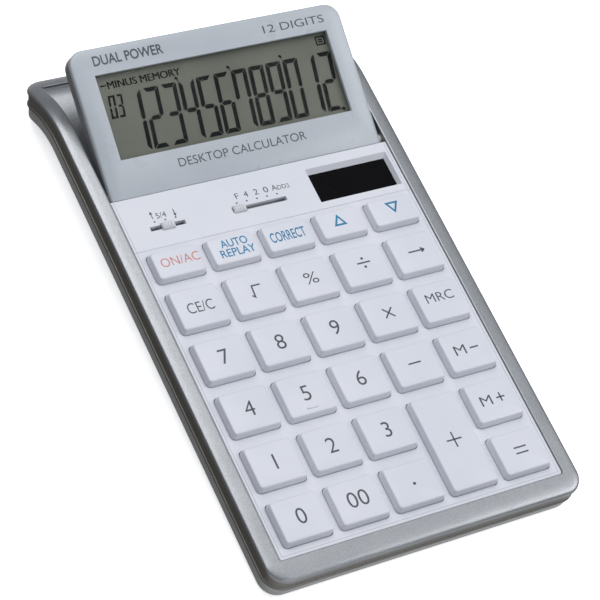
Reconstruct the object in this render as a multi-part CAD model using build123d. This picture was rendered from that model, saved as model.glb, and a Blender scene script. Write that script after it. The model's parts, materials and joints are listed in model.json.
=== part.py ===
from build123d import *
import os
from math import cos, radians, sin, tan

# Desk calculator with a tilting display, a five-column keypad and a case whose rear end curls down to the
# desk. The pieces are modelled level, in the case's own frame: X to the right, Y from the front edge to the
# back, Z up from the face of the keypad. The whole model is then inclined as it stands and set on its feet.

# ---- driving dimensions, in millimetres and degrees ----
CASE_WIDTH = 108.4
CASE_LENGTH = 185.4          # front edge to the rear edge of the frame's top
CASE_CORNER = 6.5
INCLINE = 2.75               # the keypad's slope when the case stands on its feet

FRAME_CREST = 0.6            # how far the silver frame stands above the keypad face
FRAME_UNDERSIDE = -0.9
FRAME_ROUND = 1.2
SPLIT = -5.6                 # parting line between the upper and the lower shell
CASE_BOTTOM = -11.1
WALL = 1.6
LOWER_INSET = 0.5
DECK_UNDERSIDE = -2.9        # underside of the upper shell's deck, below the frame
FLOOR = CASE_BOTTOM + WALL   # inside face of the lower shell's bottom

BEND_ANGLE = 29.0            # the slope of the curled rear end
BEND_START = 155.6           # where the top surface leaves the level
BEND_RADIUS = 38.0
START_PER_DEPTH = 0.19       # deeper surfaces start to bend later and turn tighter
RADIUS_PER_DEPTH = 0.89
REAR_EDGE_DROP = 5.0         # from the end of the bend to the point that CASE_LENGTH is measured to

FRAME_SIDE = 5.1             # width of the frame's rails
FRAME_FRONT = 6.8
FRAME_REAR = 5.0
OPENING_CORNER = 0.8
PANEL_THICKNESS = 1.6
PANEL_GAP = 0.15
LEDGE = 1.2

COLUMN_PITCH = 19.0
ROW_PITCH = 18.04
FIRST_ROW_FRONT = 10.4       # front edge of the top face of the nearest row
KEY_TOP_WIDTH = 15.4
KEY_TOP_DEPTH = 13.0
SHORT_KEY_DEPTH = 9.0
TALL_KEY_DEPTH = KEY_TOP_DEPTH + ROW_PITCH
KEY_HEIGHT = 2.5
KEY_DRAFT = 15.0
KEY_DRAFT_HEIGHT = 2.1
KEY_EDGE_ROUND = 0.35
KEY_CORNER = 1.5
KEY_CLEARANCE = 0.2
KEY_WALL = 1.3
FLANGE = 0.5
FLANGE_TOP = -1.75
FLANGE_THICKNESS = 0.6
STEM_RADIUS = 1.6
STEM_FOOT = -2.8
DOME_TOP = -4.15             # the mat's domes pressed flat: 1.2 of key travel and some play

STRIP_SEAM = 112.2           # joint between the keypad panel and the control panel
STRIP_REAR = 130.75
SWITCH_Y = 119.0
SWITCH_PITCH = 3.58
ROUNDING_X = -34.5           # the rounding knob in the middle of its three places
ROUNDING_TRAVEL = 2 * SWITCH_PITCH
DECIMAL_X = -9.8             # the decimal knob at the first of its five places
DECIMAL_TRAVEL = 4 * SWITCH_PITCH
KNOB_WIDTH = 4.4
SLOT_DEPTH = 1.5
SWITCH_BODY_TOP = -2.7       # just below the knobs' feet
SOLAR_CENTRE = (32.3, 120.6)
SOLAR_SIZE = (28.2, 10.5)

HINGE_Y = 133.6
HINGE_Z = -3.0
HINGE_RADIUS = 0.9
HINGE_BORE = 0.95
DISPLAY_TILT = 18.6          # how far the display is raised from flat
DISPLAY_WIDTH = 95.8
DISPLAY_DEPTH = 48.0
DISPLAY_THICKNESS = 6.4
DISPLAY_CORNER = 5.0
DISPLAY_NOSE = 1.6           # from the hinge axis to the display's front edge
FACE = 3.3                   # the display's face above the hinge axis
BEZEL_THICKNESS = 2.0
DISPLAY_WALL = 1.4
WINDOW_SIZE = (82.2, 27.2)
WINDOW_Y = 24.1              # from the hinge axis to the middle of the window
DISPLAY_BOARD_TOP = FACE - 4.5
BACK_FLOOR = FACE - DISPLAY_THICKNESS + 1.1
PIN_DEPTH = 5.0
WELL_WALL = 1.2
WELL_CORNER = 0.7
WELL_FLOOR = -6.8
WELL_BEND_START = 169.5
WELL_BEND_RADIUS = 14.0
RAMP_START = 174.0           # the raised floor inside the opening bends here, nearly level with the frame

BOARD_TOP = -4.6
BOARD_THICKNESS = 1.0
BOARD_WIDTH = 92.0
CELL_RADIUS = 5.8
CELL_HEIGHT = 3.05
CELL_PLACE = (24.0, 72.0)
DOOR_WIDTH = 18.0
DOOR_FRONT = 63.0
DOOR_REAR = 89.0
DOOR_SCREW_Y = 85.0
FRONT_FOOT = (14.0, -12.0)   # Y and Z of the middle of a front foot's underside
FEET = [(side * 42.0, y) for side in (-1, 1) for y in (14.0, 175.8)]
FOOT_RADIUS = 3.5
CASE_SCREWS = [(side * 49.6, y) for side in (-1, 1) for y in (20.0, 70.0, 122.0)]
BOSS_RADIUS = 2.1
BOSS_FOOT = -8.4
SCREW_RADIUS = 0.9
SCREW_HEAD = 1.8
SCREW_SEAT = CASE_BOTTOM + 1.5
SCREW_TIP = -5.0
BOARD_SCREWS = [(side * 28.5, y) for side in (-1, 1) for y in (25.9, 98.1)]
SMALL_SCREW_RADIUS = 0.7
SMALL_SCREW_HEAD = 1.4
DISPLAY_SCREWS = [(side * 44.8, y) for side in (-1, 1) for y in (4.5, 41.5)]

FAR = 400.0                  # longer than the whole object, for cutting shapes


# ---- shapes that follow the case ----
def side_line(z):
    """Points of a surface seen from the side: level, bent about X, then straight down the slope."""
    depth = FRAME_CREST - z
    start = BEND_START + START_PER_DEPTH * depth
    radius = BEND_RADIUS - RADIUS_PER_DEPTH * depth
    turn = radians(BEND_ANGLE)
    end = Vector(start + radius * sin(turn), z - radius * (1 - cos(turn)))
    tail = end + Vector(cos(turn), -sin(turn)) * 60
    return Vector(-20, z), Vector(start, z), end, tail


def slab(top, bottom):
    """Everything between two bent surfaces, wider than the case."""
    edges = []
    for z in (top, bottom):
        front, start, end, tail = side_line(z)
        edges += [Line(front, start), TangentArc(start, end, tangent=(1, 0)), Line(end, tail)]
    for corner in (0, 3):
        edges.append(Line(side_line(top)[corner], side_line(bottom)[corner]))
    return extrude(Plane.YZ * make_face(edges), amount=CASE_WIDTH, both=True)


def outline(side, front, rear, corner):
    """A plan shape inside the case's edge: upright over the keypad, leaning with the curl at the rear."""
    width = CASE_WIDTH - 2 * side
    upright = Pos(0, front + FAR / 2, 0) * RectangleRounded(width, FAR, corner)
    leaning = Pos(0, -rear - FAR / 2, 0) * RectangleRounded(width, FAR, corner)
    bend_end = side_line(FRAME_CREST)[2]
    rear_frame = Location((0, CASE_LENGTH, bend_end.Y - REAR_EDGE_DROP), (-BEND_ANGLE, 0, 0))
    upright, leaning = (extrude(plan, amount=FAR / 4, both=True) for plan in (upright, leaning))
    return upright & rear_frame * leaning


def case_layer(top, bottom, inset=0.0):
    return slab(top, bottom) & outline(inset, inset, inset, CASE_CORNER - inset)


def block(width, depth, bottom, top, x=0.0, y=0.0):
    return Pos(x, y, (bottom + top) / 2) * Box(width, depth, top - bottom)


def disc(radius, bottom, top, x=0.0, y=0.0):
    return Pos(x, y, (bottom + top) / 2) * Cylinder(radius, top - bottom)


# ---- casing ----
def outer_rim(solid, facing):
    """The edges that ring the faces looking up (facing 1) or down (facing -1), without those between them."""
    edges = [edge for face in solid.faces() if face.normal_at().Z * facing > 0.5
             for edge in face.outer_wire().edges()]
    return ShapeList([edge for edge in edges
                      if sum((edge.center() - other.center()).length < 0.01 for other in edges) == 1])


def make_top_frame():
    ring = case_layer(FRAME_CREST, FRAME_UNDERSIDE)
    ring = fillet(outer_rim(ring, 1), FRAME_ROUND)
    return ring - outline(FRAME_SIDE, FRAME_FRONT, FRAME_REAR, OPENING_CORNER)


def make_upper_shell():
    """The side wall with its ridge, and the deck under the frame that the panels rest on."""
    shell = case_layer(FRAME_UNDERSIDE, SPLIT, 0.2)
    shell += case_layer(SPLIT + 0.8, SPLIT, -0.2)
    shell -= slab(DECK_UNDERSIDE, SPLIT - 5) & outline(WALL, WALL, WALL, CASE_CORNER - WALL)
    shell -= outline(FRAME_SIDE + LEDGE, FRAME_FRONT + LEDGE, FRAME_REAR, OPENING_CORNER)
    shell -= slab(5, -PANEL_THICKNESS) & outline(FRAME_SIDE, FRAME_FRONT, FRAME_REAR, OPENING_CORNER)
    shell -= outline(FRAME_SIDE, STRIP_REAR - 1.2, FRAME_REAR, OPENING_CORNER)
    shell -= slab(-PANEL_THICKNESS, SPLIT - 5) & outline(FRAME_SIDE - 1.5, STRIP_REAR - 1.2, 3.2, 2.0)
    for x, y in CASE_SCREWS:
        shell += disc(BOSS_RADIUS, BOSS_FOOT, DECK_UNDERSIDE + 0.5, x, y)
        shell -= disc(SCREW_RADIUS, BOSS_FOOT, DECK_UNDERSIDE, x, y)
    return shell


def make_lower_shell():
    """The tray under the case, with counterbored screw bosses, board standoffs and the battery opening."""
    shell = case_layer(SPLIT - 0.1, CASE_BOTTOM, LOWER_INSET)
    shell = fillet(outer_rim(shell, -1), 1.8)
    inside = LOWER_INSET + WALL
    shell -= slab(SPLIT + 5, FLOOR) & outline(inside, inside, inside, CASE_CORNER - inside)
    for x, y in CASE_SCREWS:
        shell += disc(BOSS_RADIUS + 0.9, CASE_BOTTOM + 0.5, BOSS_FOOT, x, y)
        shell -= disc(SCREW_HEAD + 0.2, CASE_BOTTOM - 1, SCREW_SEAT, x, y)
        shell -= disc(SCREW_RADIUS, CASE_BOTTOM, BOSS_FOOT, x, y)
    for x, y in BOARD_SCREWS:
        shell += disc(2.2, FLOOR - 0.2, BOARD_TOP - BOARD_THICKNESS, x, y)
        shell -= disc(SMALL_SCREW_RADIUS, FLOOR, BOARD_TOP, x, y)
    door_middle = (DOOR_FRONT + DOOR_REAR) / 2
    door_depth = DOOR_REAR - DOOR_FRONT
    shell -= block(DOOR_WIDTH + 0.3, door_depth + 0.3, CASE_BOTTOM - 1, FLOOR + 1, CELL_PLACE[0], door_middle)
    shell += block(DOOR_WIDTH, 9.0, FLOOR, FLOOR + 1.2, CELL_PLACE[0], DOOR_REAR - 1.5)
    return shell - disc(SMALL_SCREW_RADIUS, FLOOR - 1, FLOOR + 2, CELL_PLACE[0], DOOR_SCREW_Y)


def make_battery_door():
    """A plate flush with the underside, with a rim that keeps the cell in place and a hole for its screw."""
    x, y = CELL_PLACE
    door = block(DOOR_WIDTH, DOOR_REAR - DOOR_FRONT, CASE_BOTTOM, FLOOR, x, (DOOR_FRONT + DOOR_REAR) / 2)
    door -= disc(SCREW_HEAD + 0.1, CASE_BOTTOM - 1, CASE_BOTTOM + 0.8, x, DOOR_SCREW_Y)
    door -= disc(SMALL_SCREW_RADIUS, CASE_BOTTOM, FLOOR + 1, x, DOOR_SCREW_Y)
    rim = disc(CELL_RADIUS + 1.0, FLOOR, FLOOR + 1.5, x, y)
    rim -= disc(CELL_RADIUS + 0.15, FLOOR, FLOOR + 1.5, x, y)
    return door + (rim - block(4.0, 4.0, FLOOR, FLOOR + 1.5, x - CELL_RADIUS - 1.0, y))


def machine_screw(radius, head_radius, head_bottom, head_top, tip, x, y):
    """A cross-slotted screw driven upwards, its head below."""
    screw = disc(head_radius, head_bottom, head_top, x, y) + disc(radius, head_top, tip, x, y)
    for turn in (0, 90):
        screw -= Pos(x, y, head_bottom) * Rot(0, 0, turn) * Box(head_radius * 1.3, 0.5, 0.9)
    return screw


def make_case_screws():
    return [machine_screw(SCREW_RADIUS, SCREW_HEAD, SCREW_SEAT - 1.1, SCREW_SEAT, SCREW_TIP, x, y)
            for x, y in CASE_SCREWS]


def make_battery_door_screw():
    head_top = CASE_BOTTOM + 0.8
    place = (CELL_PLACE[0], DOOR_SCREW_Y)
    return machine_screw(SMALL_SCREW_RADIUS, SCREW_HEAD, CASE_BOTTOM, head_top, FLOOR + 1.1, *place)


def make_rubber_feet():
    """Four round pads, cut to the shell above and level with the desk below."""
    shell = case_layer(SPLIT, CASE_BOTTOM, LOWER_INSET)
    desk = Location((0, *FRONT_FOOT), (-INCLINE, 0, 0))
    pads = []
    for x, y in FEET:
        pad = disc(FOOT_RADIUS, 0, 6.0, x, (y - FRONT_FOOT[0]) / cos(radians(INCLINE)))
        pad = fillet(pad.edges().sort_by(Axis.Z)[0], 0.4)
        pads.append((desk * pad - shell).solids().sort_by(Axis.Z)[0])
    return pads


def above_well_floor(floor, bend_start=WELL_BEND_START):
    """The space above a floor that is level under the display and then falls away with the curl."""
    turn = radians(BEND_ANGLE)
    front = Vector(bend_start - FAR, floor)
    start = Vector(bend_start, floor)
    end = start + Vector(WELL_BEND_RADIUS * sin(turn), -WELL_BEND_RADIUS * (1 - cos(turn)))
    tail = end + Vector(cos(turn), -sin(turn)) * 40
    lid = Polyline(tail, (tail.X, 20), (front.X, 20), front)
    profile = make_face([Line(front, start), TangentArc(start, end, tangent=(1, 0)), Line(end, tail), lid])
    return extrude(Plane.YZ * profile, amount=CASE_WIDTH, both=True)


def make_display_well():
    """A tray behind the control panel that the display folds into, with the bores for the hinge pins.

    At the rear its floor rises inside the frame's opening, so that only a narrow step is left to the frame.
    """
    tray = outline(FRAME_SIDE - WELL_WALL, STRIP_REAR - 1.0, FRAME_REAR - 1.6, OPENING_CORNER)
    tray &= slab(-PANEL_THICKNESS - 0.1, CASE_BOTTOM) & above_well_floor(WELL_FLOOR - 1.0)
    tray -= outline(FRAME_SIDE, STRIP_REAR - 0.35, FRAME_REAR, WELL_CORNER) & above_well_floor(WELL_FLOOR)
    ramp = outline(FRAME_SIDE + 0.1, WELL_BEND_START - 5, FRAME_REAR + 0.1, WELL_CORNER)
    tray += (ramp & above_well_floor(WELL_FLOOR - 0.5)) - above_well_floor(WELL_FLOOR, RAMP_START)
    return tray - Pos(0, HINGE_Y, HINGE_Z) * Rot(0, 90, 0) * Cylinder(HINGE_BORE, 2 * CASE_WIDTH)


# ---- keypad ----
def key_centre(column, row, depth):
    """Centre of a key; row 0 is the nearest, and keys of one row share their front edge."""
    return (column - 2) * COLUMN_PITCH, FIRST_ROW_FRONT + row * ROW_PITCH + depth / 2


def key_body_size(depth):
    spread = 2 * KEY_DRAFT_HEIGHT * tan(radians(KEY_DRAFT))
    return KEY_TOP_WIDTH + spread, depth + spread


def make_key(column, row, depth=KEY_TOP_DEPTH, marked=False):
    """A hollow cap with slanted sides, a flange under the panel and a stem that presses the mat."""
    width, length = key_body_size(depth)
    shoulder = KEY_HEIGHT - KEY_DRAFT_HEIGHT
    plan = RectangleRounded(width, length, KEY_CORNER)
    cap = extrude(Pos(0, 0, shoulder) * plan, amount=KEY_DRAFT_HEIGHT, taper=KEY_DRAFT)
    cap = fillet(cap.faces().sort_by(Axis.Z)[-1].edges(), KEY_EDGE_ROUND)
    cap += extrude(Pos(0, 0, FLANGE_TOP) * plan, amount=shoulder - FLANGE_TOP)
    cap += block(width + 2 * FLANGE, length + 2 * FLANGE, FLANGE_TOP - FLANGE_THICKNESS, FLANGE_TOP)
    hollow = (width - 2 * KEY_WALL, length - 2 * KEY_WALL)
    cap -= block(*hollow, FLANGE_TOP - FLANGE_THICKNESS, KEY_HEIGHT - KEY_WALL)
    for stem_y in stem_rows(depth):
        cap += disc(STEM_RADIUS, STEM_FOOT, KEY_HEIGHT - KEY_WALL + 0.1, 0, stem_y)
    if marked:
        cap += block(3.0, 0.7, KEY_HEIGHT - 0.1, KEY_HEIGHT + 0.3, 0, -depth / 2 + 1.9)
    x, y = key_centre(column, row, depth)
    return Pos(x, y, 0) * cap


def stem_rows(depth):
    """A tall key stands on two stems, the others on one."""
    return [-ROW_PITCH / 2, ROW_PITCH / 2] if depth > ROW_PITCH else [0]


KEYS = {
    "key_on_ac": (0, 5, SHORT_KEY_DEPTH), "key_auto_replay": (1, 5, SHORT_KEY_DEPTH),
    "key_correct": (2, 5, SHORT_KEY_DEPTH), "key_up": (3, 5, SHORT_KEY_DEPTH),
    "key_down": (4, 5, SHORT_KEY_DEPTH),
    "key_ce_c": (0, 4), "key_root": (1, 4), "key_percent": (2, 4), "key_divide": (3, 4),
    "key_backspace": (4, 4),
    "key_7": (0, 3), "key_8": (1, 3), "key_9": (2, 3), "key_multiply": (3, 3), "key_mrc": (4, 3),
    "key_4": (0, 2), "key_5": (1, 2, KEY_TOP_DEPTH, True), "key_6": (2, 2), "key_minus": (3, 2),
    "key_m_minus": (4, 2),
    "key_1": (0, 1), "key_2": (1, 1), "key_3": (2, 1), "key_plus": (3, 0, TALL_KEY_DEPTH),
    "key_m_plus": (4, 1),
    "key_0": (0, 0), "key_00": (1, 0), "key_point": (2, 0), "key_equals": (4, 0),
}


def key_depth(place):
    return place[2] if len(place) > 2 else KEY_TOP_DEPTH


def panel_plate(front, rear):
    """A stretch of the white face inside the frame."""
    side = FRAME_SIDE + PANEL_GAP
    plate = slab(0, -PANEL_THICKNESS) & outline(side, FRAME_FRONT + PANEL_GAP, 3, OPENING_CORNER)
    return plate & block(FAR, rear - front, -5, 5, 0, (front + rear) / 2)


def make_keypad_panel():
    panel = panel_plate(0, STRIP_SEAM)
    for place in KEYS.values():
        width, length = key_body_size(key_depth(place))
        hole = RectangleRounded(width + 2 * KEY_CLEARANCE, length + 2 * KEY_CLEARANCE, KEY_CORNER + 0.1)
        x, y = key_centre(place[0], place[1], key_depth(place))
        panel -= Pos(x, y, 0) * extrude(hole, amount=5, both=True)
    return panel


def make_control_panel():
    """The strip with the two slide switches' slots and the recess of the solar window."""
    panel = panel_plate(STRIP_SEAM + 0.1, STRIP_REAR)
    rear_edge = panel.edges().filter_by(Axis.X).group_by(Axis.Y)[-1].sort_by(Axis.Z)[0]
    panel = chamfer(rear_edge, 1.2)
    for x, travel in ((ROUNDING_X, ROUNDING_TRAVEL), (DECIMAL_X + DECIMAL_TRAVEL / 2, DECIMAL_TRAVEL)):
        panel -= block(travel + KNOB_WIDTH + 0.4, SLOT_DEPTH, -5, 5, x, SWITCH_Y)
    width, depth = SOLAR_SIZE
    recess = Pos(*SOLAR_CENTRE, -PANEL_THICKNESS) * Rectangle(width, depth)
    mouth = Pos(SOLAR_CENTRE[0], SOLAR_CENTRE[1] + 0.4, 0) * Rectangle(width + 1.6, depth + 2.0)
    return panel - loft([recess.face(), mouth.face()])


def make_key_mat():
    """The rubber mat, with its domes drawn pressed flat, and holes for the board's screws."""
    mat = block(BOARD_WIDTH, 101.0, BOARD_TOP, BOARD_TOP + 0.3, 0, 60.0)
    for place in KEYS.values():
        x, y = key_centre(place[0], place[1], key_depth(place))
        for stem_y in stem_rows(key_depth(place)):
            mat += disc(STEM_RADIUS + 1.5, BOARD_TOP, DOME_TOP, x, y + stem_y)
    for x, y in BOARD_SCREWS:
        mat -= disc(2.0, BOARD_TOP - 1, 0, x, y)
    return mat


# ---- electronics in the case ----
def make_main_board():
    board = block(BOARD_WIDTH, 118.0, BOARD_TOP - BOARD_THICKNESS, BOARD_TOP, 0, 68.5)
    for x, y in BOARD_SCREWS:
        board -= disc(SMALL_SCREW_RADIUS, -10, 0, x, y)
    return board


def make_board_screws():
    return [disc(SMALL_SCREW_HEAD + 0.1, BOARD_TOP, BOARD_TOP + 0.6, x, y)
            + disc(SMALL_SCREW_RADIUS, FLOOR + 0.6, BOARD_TOP, x, y) for x, y in BOARD_SCREWS]


def make_logic_chip():
    return block(12.0, 12.0, BOARD_TOP - BOARD_THICKNESS - 1.3, BOARD_TOP - BOARD_THICKNESS, -20.0, 62.0)


def make_battery_cell():
    cell = disc(CELL_RADIUS, FLOOR, FLOOR + CELL_HEIGHT - 0.2, *CELL_PLACE)
    return cell + disc(CELL_RADIUS - 1.0, FLOOR + CELL_HEIGHT - 0.2, FLOOR + CELL_HEIGHT, *CELL_PLACE)


def make_battery_contact_minus():
    """A strip over the cell, with a leg up to the board."""
    top = FLOOR + CELL_HEIGHT
    strip = block(10.0, 3.0, top, top + 0.3, CELL_PLACE[0] + 2.0, CELL_PLACE[1])
    return strip + block(1.0, 3.0, top, BOARD_TOP - BOARD_THICKNESS, CELL_PLACE[0] + 6.5, CELL_PLACE[1])


def make_battery_contact_plus():
    """A blade that stands against the cell's rim, hanging from the board."""
    x = CELL_PLACE[0] - CELL_RADIUS - 0.15
    return block(0.3, 3.0, FLOOR + 0.4, BOARD_TOP - BOARD_THICKNESS, x, CELL_PLACE[1])


def make_solar_window():
    width, depth = SOLAR_SIZE
    return block(width + 2, depth + 2, -PANEL_THICKNESS - 0.6, -PANEL_THICKNESS, *SOLAR_CENTRE)


def make_solar_cell():
    return block(SOLAR_SIZE[0], SOLAR_SIZE[1], -PANEL_THICKNESS - 1.5, -PANEL_THICKNESS - 0.6, *SOLAR_CENTRE)


def make_slide_knob(x):
    """A small ribbed cap over the slot, its neck through it and its foot under the panel."""
    knob = block(KNOB_WIDTH, 2.4, 0.1, 1.2)
    knob = fillet(knob.edges().group_by(Axis.Z)[-1], 0.3)
    knob += block(2.6, SLOT_DEPTH - 0.4, -PANEL_THICKNESS - 0.2, 0.2)
    knob += block(5.0, 3.6, -PANEL_THICKNESS - 1.0, -PANEL_THICKNESS - 0.15)
    return Pos(x, SWITCH_Y, 0) * knob


def make_switch_bodies():
    """The bodies of the two slide switches, which stand on the board and close the slots from below."""
    places = ((ROUNDING_X, ROUNDING_TRAVEL), (DECIMAL_X + DECIMAL_TRAVEL / 2, DECIMAL_TRAVEL))
    return [block(travel + 9.0, 5.0, BOARD_TOP, SWITCH_BODY_TOP, x, SWITCH_Y) for x, travel in places]


# ---- display, drawn lying level with its hinge axis at the origin ----
def display_outline(inset, bottom, top):
    """The display's plan: square corners at the hinge, round ones at the far edge."""
    width = DISPLAY_WIDTH - 2 * inset
    front = -DISPLAY_NOSE + inset
    rear = DISPLAY_DEPTH - DISPLAY_NOSE - inset
    plan = block(width, rear - front, bottom, top, 0, (front + rear) / 2)
    far_corners = plan.edges().filter_by(Axis.Z).group_by(Axis.Y)[-1]
    return fillet(far_corners, DISPLAY_CORNER - inset)


def make_display_bezel():
    """The front cover, rounded on three sides, with the window's opening and four screw bosses."""
    bezel = display_outline(0, FACE - BEZEL_THICKNESS, FACE)
    rim = bezel.faces().sort_by(Axis.Z)[-1].edges()
    bezel = fillet(rim.filter_by(lambda edge: edge.center().Y > 0), 1.2)
    bezel -= display_outline(DISPLAY_WALL, FACE - BEZEL_THICKNESS, FACE - 1.2)
    for x, y in DISPLAY_SCREWS:
        bezel += disc(1.6, BACK_FLOOR, FACE - 1.0, x, y)
        bezel -= disc(SMALL_SCREW_RADIUS, BACK_FLOOR, FACE - 1.6, x, y)
    return bezel - block(*WINDOW_SIZE, FACE - 5, FACE + 1, 0, WINDOW_Y)


def make_display_back():
    """The rear tray of the display, with a rounded solid nose that holds the hinge pins."""
    underside = FACE - DISPLAY_THICKNESS
    back = display_outline(0.15, underside, FACE - BEZEL_THICKNESS)
    back = fillet(back.edges().filter_by(Axis.X).group_by(Axis.Z)[0].sort_by(Axis.Y)[0], 2.8)
    back = fillet(back.edges().filter_by(Axis.X).group_by(Axis.Z)[0].sort_by(Axis.Y)[-1], 1.0)
    behind_nose = block(FAR, FAR, -FAR, FAR, 0, FAR / 2 + 2.4)
    back -= display_outline(DISPLAY_WALL, BACK_FLOOR, FACE) & behind_nose
    middle = Cylinder(HINGE_RADIUS * 2, DISPLAY_WIDTH - 2 * PIN_DEPTH)
    back -= Rot(0, 90, 0) * (Cylinder(HINGE_RADIUS, FAR) - middle)
    for x, y in DISPLAY_SCREWS:
        back -= disc(SMALL_SCREW_HEAD, underside - 1, underside + 0.7, x, y)
        back -= disc(SMALL_SCREW_RADIUS, underside, BACK_FLOOR, x, y)
    return back


def make_display_window():
    return block(WINDOW_SIZE[0] + 3, WINDOW_SIZE[1] + 3, FACE - 2.0, FACE - 1.2, 0, WINDOW_Y)


def make_lcd_glass():
    """Two glass plates; the rear one is longer and carries the contacts along its near edge."""
    front = block(WINDOW_SIZE[0] + 2, WINDOW_SIZE[1] + 2, FACE - 2.7, FACE - 2.0, 0, WINDOW_Y)
    return front + block(WINDOW_SIZE[0] + 2, WINDOW_SIZE[1] + 4, FACE - 3.4, FACE - 2.7, 0, WINDOW_Y - 1)


def make_zebra_strip():
    near = WINDOW_Y - WINDOW_SIZE[1] / 2 - 3
    return block(72.0, 2.0, DISPLAY_BOARD_TOP, FACE - 3.4, 0, near + 1.2)


def make_display_board():
    return block(86.0, 35.0, BACK_FLOOR, DISPLAY_BOARD_TOP, 0, WINDOW_Y - 2)


def make_display_screws():
    bottom = FACE - DISPLAY_THICKNESS
    return [machine_screw(SMALL_SCREW_RADIUS, SMALL_SCREW_HEAD, bottom, bottom + 0.7, FACE - 2.2, x, y)
            for x, y in DISPLAY_SCREWS]


def make_hinge_pins():
    length = CASE_WIDTH / 2 - FRAME_SIDE + WELL_WALL - DISPLAY_WIDTH / 2 + PIN_DEPTH
    return [Pos(side * (DISPLAY_WIDTH / 2 - PIN_DEPTH + length / 2), 0, 0) * Rot(0, 90, 0)
            * Cylinder(HINGE_RADIUS, length) for side in (-1, 1)]


def make_hinge_washers():
    gap = CASE_WIDTH / 2 - FRAME_SIDE - DISPLAY_WIDTH / 2
    ring = Cylinder(1.7, gap - 0.3) - Cylinder(HINGE_BORE, gap)
    return [Pos(side * (DISPLAY_WIDTH / 2 + 0.15 + gap / 2), HINGE_Y, HINGE_Z) * Rot(0, 90, 0) * ring
            for side in (-1, 1)]


# ---- assembly ----
CASE_PIECES = {
    "top_frame": make_top_frame, "upper_shell": make_upper_shell, "lower_shell": make_lower_shell,
    "battery_door": make_battery_door, "battery_door_screw": make_battery_door_screw,
    "case_screws": make_case_screws, "rubber_feet": make_rubber_feet, "display_well": make_display_well,
    "keypad_panel": make_keypad_panel, "control_panel": make_control_panel, "key_mat": make_key_mat,
    "main_board": make_main_board, "board_screws": make_board_screws, "logic_chip": make_logic_chip,
    "battery_cell": make_battery_cell, "battery_contact_minus": make_battery_contact_minus,
    "battery_contact_plus": make_battery_contact_plus, "solar_window": make_solar_window,
    "solar_cell": make_solar_cell, "switch_bodies": make_switch_bodies, "hinge_washers": make_hinge_washers,
}
DISPLAY_PIECES = {
    "display_bezel": make_display_bezel, "display_back": make_display_back,
    "display_window": make_display_window, "lcd_glass": make_lcd_glass, "zebra_strip": make_zebra_strip,
    "display_board": make_display_board, "display_screws": make_display_screws, "hinge_pins": make_hinge_pins,
}


def joined(shape):
    return Compound(shape) if isinstance(shape, list) else shape


def level_pieces():
    """Every piece by name, with the case level and the display raised."""
    pieces = {name: joined(make()) for name, make in CASE_PIECES.items()}
    raised = Location((0, HINGE_Y, HINGE_Z), (DISPLAY_TILT, 0, 0))
    for name, make in DISPLAY_PIECES.items():
        pieces[name] = raised * joined(make())
    for name, place in KEYS.items():
        pieces[name] = make_key(*place)
    pieces["rounding_knob"] = make_slide_knob(ROUNDING_X)
    pieces["decimal_knob"] = make_slide_knob(DECIMAL_X)
    return pieces


def main():
    os.makedirs("parts", exist_ok=True)
    inclined = {name: Rot(INCLINE, 0, 0) * piece for name, piece in level_pieces().items()}
    boxes = [piece.bounding_box() for piece in inclined.values()]
    middle = (min(box.min.Y for box in boxes) + max(box.max.Y for box in boxes)) / 2
    stand = Pos(0, -middle, -min(box.min.Z for box in boxes))
    for name, piece in inclined.items():
        export_step(stand * piece, f"parts/{name}.step")
    hinge = (stand * Rot(INCLINE, 0, 0) * Pos(0, HINGE_Y, HINGE_Z)).position
    print(f"{len(inclined)} pieces; hinge axis at Y {hinge.Y:.3f}, Z {hinge.Z:.3f}")


if __name__ == "__main__":
    main()
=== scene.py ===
# %% [markdown]
# # A desk calculator, piece by piece
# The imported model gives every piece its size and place. It is loaded first and is never moved. What follows
# dresses it: the frame gets its crown, the keys their soft edges and printed legends, the display its glass and
# digits, and every surface a finish of its own.

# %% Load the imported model
import json
from math import atan2, cos, pi, radians, sin

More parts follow.
